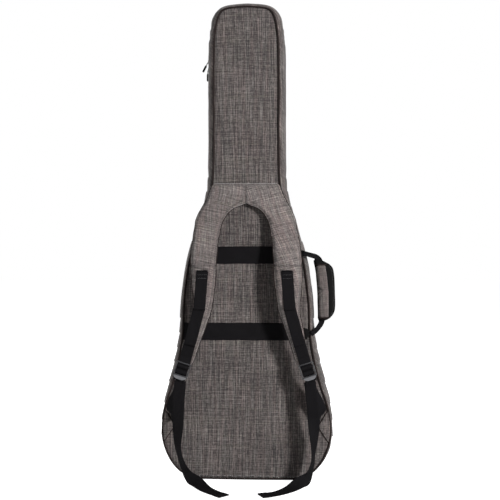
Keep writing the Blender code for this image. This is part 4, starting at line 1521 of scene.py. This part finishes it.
def pocket_face(kit):
    """The padded front of the body pocket, its piping and its stitches."""
    line = loop("body_pocket_panel", float(high("body_pocket_panel")[1]), 300)
    thin = float(high("body_pocket_panel")[1] - low("body_pocket_panel")[1]) / 2
    mid = float(high("body_pocket_panel")[1] + low("body_pocket_panel")[1]) / 2
    face = cover("pocket_cover", line, mid + 0.0002, thin, 0.0022, 1, kit["fabric"], 150)
    tree = tree_of(line)
    cloth(face, 0.0050, 2.0, 0.0060,
          held=lambda spots: ease(distance_to(tree, spots[:, 0], spots[:, 2]), 0.004, 0.035)
          * (spots[:, 1] > mid))
    subdivide(face)
    co = coordinates(face)
    d = distance_to(tree, co[:, 0], co[:, 2])
    lift = ease(co[:, 1], mid, mid + thin)
    co[:, 1] += lift * (0.0008 * wobble(co, 19.0, 9.0) * ease(d, 0.004, 0.03)
                        - 0.0009 * np.exp(-((d - POCKET_SEAM) / 0.0016) ** 2))
    co[:, 1] = np.where(co[:, 1] > mid, co[:, 1], np.maximum(co[:, 1], mid - thin))
    place(face, co)
    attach(face, "pocket_flap")
    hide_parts("body_pocket_panel")
    tube("pocket_piping", [(x, mid + 0.0006, z) for x, z in line + outward(line) * 0.0001],
         0.0017, kit["piping"], "pocket_flap", closed=True, hint=REAR)
    drop = onto(face, REAR)
    sewn = Thread()
    inset = line - outward(line) * POCKET_SEAM
    sewn.row([drop((x, 0.1, z)) for x, z in np.vstack([inset, inset[:1]])], REAR)
    sewn.sew("pocket_stitches", kit["thread"], "pocket_flap")


def neck_pocket(kit):
    a, b = low("neck_pocket_panel"), high("neck_pocket_panel")
    corner = 0.010
    ring = []
    for cx, cz, start in ((b[0], a[2], -90), (b[0], b[2], 0), (a[0], b[2], 90), (a[0], a[2], 180)):
        ox, oz = cx - math.copysign(corner, cx), cz + (corner if cz < 0.8 else -corner)
        for step in range(6):
            turn = math.radians(start + 18 * step)
            ring.append((ox + corner * math.cos(turn), oz + corner * math.sin(turn)))
    dense = []
    for p, q in zip(ring, ring[1:] + ring[:1]):
        steps = max(1, int(math.dist(p, q) / 0.006))
        dense += [np.array(p) + (np.array(q) - np.array(p)) * t / steps for t in range(steps)]
    line = np.array(dense)
    mid, thin = (a[1] + b[1]) / 2, (b[1] - a[1]) / 2
    face = cover("neck_pocket_cover", line, mid, thin, 0.0, 1, kit["fabric"], 120)
    cloth(face, 0.0050, 3.0, 0.0050,
          held=lambda s: ease(abs(s[:, 0]), 0.058, 0.044) * ease(abs(s[:, 2] - 0.8), 0.157, 0.13)
          * (s[:, 1] > mid) * ease(s[:, 0], 0.040, 0.020))
    subdivide(face)
    co = coordinates(face)
    lift = ease(co[:, 1], mid, mid + thin)
    co[:, 1] += lift * 0.0005 * wobble(co, 22.0, 12.0)
    by_zip = np.exp(-((co[:, 0] - NECK_ZIP_X) / 0.0055) ** 4) * (abs(co[:, 2] - 0.785) < 0.127)
    co[:, 1] -= lift * 0.0010 * by_zip
    place(face, co)
    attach(face, "lid")
    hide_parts("neck_pocket_panel")
    drop = onto(face, REAR)
    edge = np.array([(x, mid + 0.0004, z) for x, z in line + outward(line) * 0.0004])
    tube("neck_pocket_piping", edge, 0.0016, kit["piping"], "lid", closed=True, hint=REAR)
    z0, z1 = low("neck_pocket_zip")[2], high("neck_pocket_zip")[2]
    path = np.array([drop((NECK_ZIP_X, 0.1, z), 0.0009) for z in np.linspace(z0, z1, 60)])
    path[:, 0] = NECK_ZIP_X
    tape = strap("neck_pocket_tape", path, REAR, 0.0135, 0.0012, kit["tape"], "lid")
    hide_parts("neck_pocket_zip")
    coil_line("neck_pocket_coil", path + (0, 0.0008, 0), REAR, kit["coil"], "lid")
    sewn = Thread()
    for x in (0.0395, 0.0585):
        z_span = np.linspace(z0 - 0.003, z1 + 0.003, 60)
        sewn.row([drop((x, 0.1, z), 0.0) for z in z_span], REAR)
    inset = line - outward(line) * 0.0052
    sewn.row([drop((x, 0.1, z), 0.0) for x, z in np.vstack([inset, inset[:1]])], REAR)
    sewn.sew("neck_pocket_stitches", kit["thread"], "lid")


# ---------------------------------------------------------------- inside
def lining_face(name, node, sign, material, body):
    """Soft lining over the foam of one face."""
    y = float(high(node)[1]) if sign > 0 else float(low(node)[1])
    line = loop(node, y, 400)
    thick = float(high(node)[1] - low(node)[1]) / 2
    mid = float(high(node)[1] + low(node)[1]) / 2
    made = cover(name, line, mid, thick, 0.0, sign, material, 220)
    co = coordinates(made)
    towards = (co[:, 1] - mid) * sign > 0
    sunk = 0.0005 * (1 + wobble(co, 24.0, 15.0)) * towards
    co[:, 1] -= sign * np.clip(sunk, 0, 0.0009)
    place(made, co)
    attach(made, body)
    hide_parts(node)


def lining_side(name, node, edge, deep, sign, material, body):
    """Lining round the side walls that turns over the edge of the foam to the zip."""
    reach = abs(deep - edge)
    rows = []
    turn = [(0.0040, 0.0004), (0.0044, 0.0001), (0.0070, 0.0), (0.0120, 0.0001),
            (0.0146, 0.0007), (0.0154, 0.0020)]
    steps = turn + [(0.0155, 0.0020 + (reach - 0.0025) * t) for t in np.linspace(0.08, 1, 9)]
    for depth, back in steps:
        y = edge - sign * back
        spot = np.stack([OUTER[:, 0], np.full(len(OUTER), y), OUTER[:, 1]], axis=1)
        sway = 0.0007 * wobble(spot, 34.0, 21.0) * float(ease(back, 0.001, 0.010))
        rows.append([(x - d[0] * (depth + f), y, z - d[1] * (depth + f))
                     for (x, z), d, f in zip(OUTER, OUT_DIR, sway)])
    points, faces = woven(rows, closed=True, caps=False)
    made = piece(name, points, faces, material)
    thicken(made, 0.0008, offset=1.0)
    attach(made, body)
    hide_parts(node)


def linings(kit):
    lining_face("back_lining_cloth", "back_lining", 1, kit["lining"], "root")
    lining_face("front_lining_cloth", "front_lining", -1, kit["lining"], "lid")
    lining_side("rear_side_lining", "rear_gusset_lining", float(high("rear_gusset")[1]),
                float(low("rear_gusset_lining")[1]), 1, kit["lining"], "root")
    lining_side("front_side_lining", "front_gusset_lining", float(low("front_gusset")[1]),
                float(high("front_gusset_lining")[1]), -1, kit["lining"], "lid")


def cradle(kit):
    """Padded block with a slot for the guitar's neck."""
    a, b = low("neck_cradle"), high("neck_cradle")
    slot, floor_y = 0.029, -0.0239
    profile = [(a[0], a[1]), (b[0], a[1]), (b[0], b[1]), (slot, b[1]), (slot, floor_y),
               (-slot, floor_y), (-slot, b[1]), (a[0], b[1])]
    dense = []
    for p, q in zip(profile, profile[1:] + profile[:1]):
        long = math.dist(p, q)
        cut = min(0.004, long * 0.3)
        for t in np.linspace(cut / long, 1 - cut / long, max(4, int(long / 0.003))):
            dense.append(np.array(p) + (np.array(q) - np.array(p)) * t)
    ring = np.array(dense)
    way = outward(ring)
    rows = []
    for t in np.linspace(0, 1, 19):
        z = a[2] + (b[2] - a[2]) * t
        end = min(t, 1 - t) * (b[2] - a[2])
        inset = 0.004 * (1 - math.sqrt(max(0.0, 1 - (1 - min(1.0, end / 0.004)) ** 2)))
        spot = np.stack([ring[:, 0], ring[:, 1], np.full(len(ring), z)], axis=1)
        inset = inset + 0.0005 * (1 + wobble(spot, 45.0, 31.0))
        rows.append([(p[0] - d[0] * i, p[1] - d[1] * i, z) for p, d, i in zip(ring, way, inset)])
    points, faces = woven(rows, closed=True)
    made = piece("cradle_pad", points, faces, kit["lining"], "root")
    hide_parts("neck_cradle")


def hold_down(kit):
    """The strap across the cradle."""
    strap_mid = (low("neck_strap") + high("neck_strap")) / 2
    path = np.array([(x, strap_mid[1] + 0.0004 * math.sin(x * 60), strap_mid[2])
                     for x in np.linspace(low("neck_strap")[0], high("neck_strap")[0], 40)])
    made = strap("neck_strap_web", path, REAR, 0.0250, 0.0014, kit["webbing"],
                 "neck_strap", hem=0.016)
    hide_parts("neck_strap")


def bumper(kit):
    """Foam block under the guitar's strap pin."""
    a, b = low("end_pin_bumper"), high("end_pin_bumper")
    made = blocks("end_bumper", [((a + b) / 2, tuple((b - a) / 2), 0.0050)], np.eye(3),
                  kit["lining"], segments=5)
    subdivide(made)
    co = coordinates(made)
    co *= 1 + 0.004 * wobble(co, 60.0, 41.0)[:, None]
    place(made, co)
    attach(made, "root")
    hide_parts("end_pin_bumper")


def hinge_cloth(material):
    """Gusset cloth that carries on past the end of the zip and joins the two halves."""
    z0, z1 = low("fabric_hinge")[2], high("fabric_hinge")[2]
    rows = []
    line = OUTER[(OUTER[:, 0] > 0) & (OUTER[:, 1] > z0 - 0.01) & (OUTER[:, 1] < z1 + 0.01)]
    line = line[np.argsort(line[:, 1])]
    for z in np.linspace(z0, z1, 25):
        x = float(np.interp(z, line[:, 1], line[:, 0]))
        rows.append([(x + 0.0011 - 0.0006 * abs(t) ** 3, ZIP_Y + t * 0.0105, z)
                     for t in np.linspace(-1, 1, 15)])
    points, faces = woven(rows)
    made = piece("hinge_strip", points, faces, material)
    face_to(made, (1, 0, 0))
    thicken(made, 0.0010)
    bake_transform(made)
    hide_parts("fabric_hinge")


# ---------------------------------------------------------------- other materials
WEB_COLOUR = (0.0026, 0.0024, 0.0027)
WEB_RIB = 0.0016             # from one rib of the webbing to the next
ZIG_WIDE, ZIG_DEEP = 0.0052, 0.0028      # its ribs run in a zigzag
PICK = 0.00065               # from one crossing thread to the next


def webbing(name):
    """Ribbed polyester webbing; its strip map is in metres across and along."""
    paint = Paint(name, 0.62, Specular_IOR_Level=0.03)
    parts = paint.node("ShaderNodeSeparateXYZ")
    paint.feed(parts.inputs[0], paint.uv("strip"))
    u, v = parts.outputs[0], parts.outputs[1]
    saw = paint.math("SUBTRACT", paint.math("FRACT", paint.times(u, 1 / ZIG_WIDE)), 0.5)
    slant = paint.plus(v, paint.times(paint.math("ABSOLUTE", saw), ZIG_DEEP))
    fuzz = paint.noise(paint.flat(u, v, 2400, 900))
    cloud = paint.noise(paint.flat(u, v, 60, 30))
    height = paint.plus(paint.times(paint.ribs(slant, WEB_RIB), 0.7),
                        paint.times(paint.ribs(u, PICK), 0.35))
    height = paint.plus(height, paint.times(fuzz, 0.5))
    light = paint.times(paint.plus(height, cloud), 0.55)
    paint.colour(paint.mix(light, scaled(WEB_COLOUR, 0.65), scaled(WEB_COLOUR, 2.6)))
    paint.rough(paint.plus(paint.times(fuzz, 0.22), 0.52))
    paint.bump(height, 0.00028, 0.8)
    return paint.material


def plain_weave(name, colour, pitch, roughness=0.75, twill=0.0):
    """A close weave in one colour, on the object's own axes."""
    paint = Paint(name, roughness, Specular_IOR_Level=0.06)
    where = paint.place()
    u = paint.dot(where, (1.0, 0.83, twill))
    v = paint.dot(where, (-twill, 0.31, 1.0))
    over = paint.times(paint.ribs(u, pitch), paint.ribs(v, pitch))
    cloud = paint.noise(where, 35.0, 4.0, 0.6)
    fuzz = paint.noise(where, 1400.0)
    tone = paint.plus(paint.times(over, 0.4), paint.times(cloud, 0.6))
    paint.colour(paint.mix(tone, scaled(colour, 0.65), scaled(colour, 1.35)))
    paint.rough(paint.plus(paint.times(cloud, 0.2), roughness - 0.1))
    paint.bump(paint.plus(over, paint.times(fuzz, 0.4)), 0.00022, 0.7)
    return paint.material


def spacer_mesh(name):
    """Black air mesh with round holes, on the back of the cushions."""
    paint = Paint(name, 0.8, Sheen_Weight=0.2)
    cells = paint.node("ShaderNodeTexVoronoi", feature="DISTANCE_TO_EDGE")
    paint.feed(cells.inputs["Vector"], paint.place())
    cells.inputs["Scale"].default_value = 420.0
    cells.inputs["Randomness"].default_value = 0.15
    walls = paint.ramp(cells.outputs["Distance"], [(0.08, 1.0), (0.22, 0.0)])
    paint.colour(paint.mix(walls, (0.004, 0.004, 0.004), (0.020, 0.019, 0.020)))
    paint.bump(walls, 0.0004, 0.8)
    return paint.material


def plush(name, colour):
    """Short-pile lining: soft, slightly blotched by the way the pile lies."""
    paint = Paint(name, 0.95, Sheen_Weight=0.7, Sheen_Roughness=0.4, Specular_IOR_Level=0.1)
    where = paint.place()
    lay = paint.noise(where, 13.0, 4.0, 0.6)
    fine = paint.noise(where, 900.0, 3.0)
    tone = paint.plus(paint.times(lay, 0.65), paint.times(fine, 0.35))
    paint.colour(paint.mix(tone, scaled(colour, 0.6), scaled(colour, 1.5)))
    paint.bump(fine, 0.0005, 0.6)
    return paint.material


SCUFFS = 0.12                # how much scuffs change the gloss of a moulded part


def moulded(name, colour, roughness, metallic=0.0, gloss=0.3):
    """Moulded plastic or coated metal with fine grain, scuffs and uneven gloss."""
    paint = Paint(name, roughness, metallic, Specular_IOR_Level=gloss)
    where = paint.place()
    grain = paint.noise(where, 1800.0)
    scuff = paint.noise(where, 160.0, 5.0, 0.7)
    worn = tuple(min(1.0, c * 1.7 + 0.004) for c in colour)
    paint.colour(paint.mix(paint.times(scuff, 0.6), colour, worn))
    paint.rough(paint.plus(paint.times(scuff, SCUFFS * 2), roughness - SCUFFS))
    paint.bump(grain, 0.00005, 0.6)
    return paint.material


def twisted(name, colour):
    """Sewing thread."""
    paint = Paint(name, 0.7, Sheen_Weight=0.2)
    fine = paint.noise(paint.place(), 2600.0, 1.0)
    paint.colour(paint.mix(fine, scaled(colour, 0.6), scaled(colour, 1.4)))
    paint.bump(fine, 0.0001, 0.6)
    return paint.material


def foam_block(name, colour):
    """Closed-cell foam inside the walls."""
    paint = Paint(name, 0.95)
    cells = paint.noise(paint.place(), 1300.0)
    paint.colour(paint.mix(cells, scaled(colour, 0.5), scaled(colour, 1.4)))
    paint.bump(cells, 0.0004, 0.7)
    return paint.material


# ---------------------------------------------------------------- put it all together
camera()
studio()
FABRIC = melange("melange_canvas", tone=0.78)
FABRIC_EDGE = melange("melange_canvas_gusset", tone=0.80, edge=True)
# The cushions' canvas is toned lighter than the panel's (1.28 and 1.42 against 0.78). The right
# one is toned lighter than the left: that difference is painted light, for the key lamp on the
# right.
FABRIC_SIDE = {"left": melange("melange_canvas_left", math.radians(-13), 1.28, 0.46, 1.25),
               "right": melange("melange_canvas_right", math.radians(13), 1.42, 0.46, 1.25)}
WRAP_FABRIC = melange("melange_canvas_handle", math.radians(4), 1.0, 0.5, 0.9)
WEB = webbing("webbing_black")
SLEEVE = plain_weave("sleeve_black", (0.0045, 0.0043, 0.0044), 0.0007)
CORD = plain_weave("piping_black", (0.0150, 0.0108, 0.0100), 0.0008, 0.6)
TAPE = plain_weave("zip_tape_black", (0.0080, 0.0076, 0.0078), 0.0008, 0.7, twill=0.6)
COIL = moulded("zip_coil_black", (0.008, 0.008, 0.009), 0.62, gloss=0.06)
PLASTIC = moulded("lock_plastic", (0.022, 0.022, 0.024), 0.42)
# the lip's plastic is made lighter than the frame's (0.085 against 0.022): a painted highlight on
# the tongue
LIP_HIGHLIGHT_PAINT = moulded("lock_lip_painted_highlight", (0.085, 0.085, 0.090), 0.34)
METAL = moulded("black_metal_coat", (0.010, 0.010, 0.011), 0.50, 0.15, gloss=0.12)
RUBBER = moulded("pull_rubber", (0.006, 0.006, 0.006), 0.65, gloss=0.06)
MESH = spacer_mesh("cushion_mesh_black")
PLUSH = plush("lining_grey", (0.050, 0.048, 0.050))
FOAM = foam_block("closed_cell_foam", (0.03, 0.03, 0.032))
GREY_THREAD = twisted("thread_grey", (0.060, 0.052, 0.050))
BLACK_THREAD = twisted("thread_black", (0.020, 0.020, 0.021))
KIT = {"fabric": FABRIC, "piping": CORD, "tape": TAPE, "coil": COIL, "thread": GREY_THREAD,
       "lining": PLUSH, "webbing": WEB}

for obj in frame["nodes"].values():
    obj.data.materials.clear()
    obj.data.materials.append(FOAM)

panel("back_cover", -1, FABRIC, "root", "back_panel")
panel("front_cover", 1, FABRIC, "lid", "front_panel")
side_wall("rear_side", -1, FABRIC_EDGE, "root", "rear_gusset")
side_wall("front_side", 1, FABRIC_EDGE, "lid", "front_gusset")
band("band_upper", "upper_band", WEB, 0.1085, 0.1085)
band("band_lower", "lower_band", WEB, right=0.1200)
piping("rear_piping_cord", -1, CORD, "root", "rear_piping")
piping("front_piping_cord", 1, CORD, "lid", "front_piping")
tape_and_coil("rear_tape", -1, TAPE, COIL, "root", "rear_zip_tape")
tape_and_coil("front_tape", 1, TAPE, COIL, "lid", "front_zip_tape")
hinge_cloth(FABRIC)

for side, sign in (("left", -1), ("right", 1)):
    drop = cushion(side, sign, FABRIC_SIDE[side], MESH, CORD, GREY_THREAD)
    pad_webbing(side, sign, drop, WEB, BLACK_THREAD)
    ladder_lock(side, sign, PLASTIC, LIP_HIGHLIGHT_PAINT, WEB)
    strap_tail(side, WEB)
    lower_webbing(side, sign, WEB)
    anchor_tab(side, sign, FABRIC, CORD, GREY_THREAD)

handle(SLEEVE, WRAP_FABRIC, WEB, BLACK_THREAD, CORD)
for name, body in (("upper", "a"), ("lower", "b")):
    slider(f"slider_{name}", f"main_{name}_slider", (0, 0, 1), LEFTWARD, METAL,
           "main_slider_" + body)
pull("pull_upper", "main_upper_pull", (-0.0902, 0.012, 0.9185), (-0.1010, 0.012, 0.8973),
     LEFTWARD, METAL, RUBBER, "main_pull_a")
pull("pull_lower", "main_lower_pull", (-0.0902, 0.012, 0.9005), (-0.0902, 0.012, 0.8767),
     LEFTWARD, METAL, RUBBER, "main_pull_b")
slider("pocket_slider_body", "body_pocket_slider", (0, 0, 1), LEFTWARD, METAL, "pocket_slider")
pull("pocket_pull_tab", "body_pocket_pull", (-0.1234, 0.0782, 0.3885),
     (-0.1234, 0.0782, 0.3647), LEFTWARD, METAL, RUBBER, "pocket_pull")
slider("neck_slider_body", "neck_pocket_slider", (0, 0, -1), REAR, METAL, "neck_slider")
pull("neck_pull_tab", "neck_pocket_pull", (NECK_ZIP_X, 0.0635, 0.8935),
     (NECK_ZIP_X, 0.0635, 0.8697), REAR, METAL, RUBBER, "neck_pull")
pocket_sides(KIT)
pocket_face(KIT)
neck_pocket(KIT)
linings(KIT)
cradle(KIT)
hold_down(KIT)
bumper(KIT)
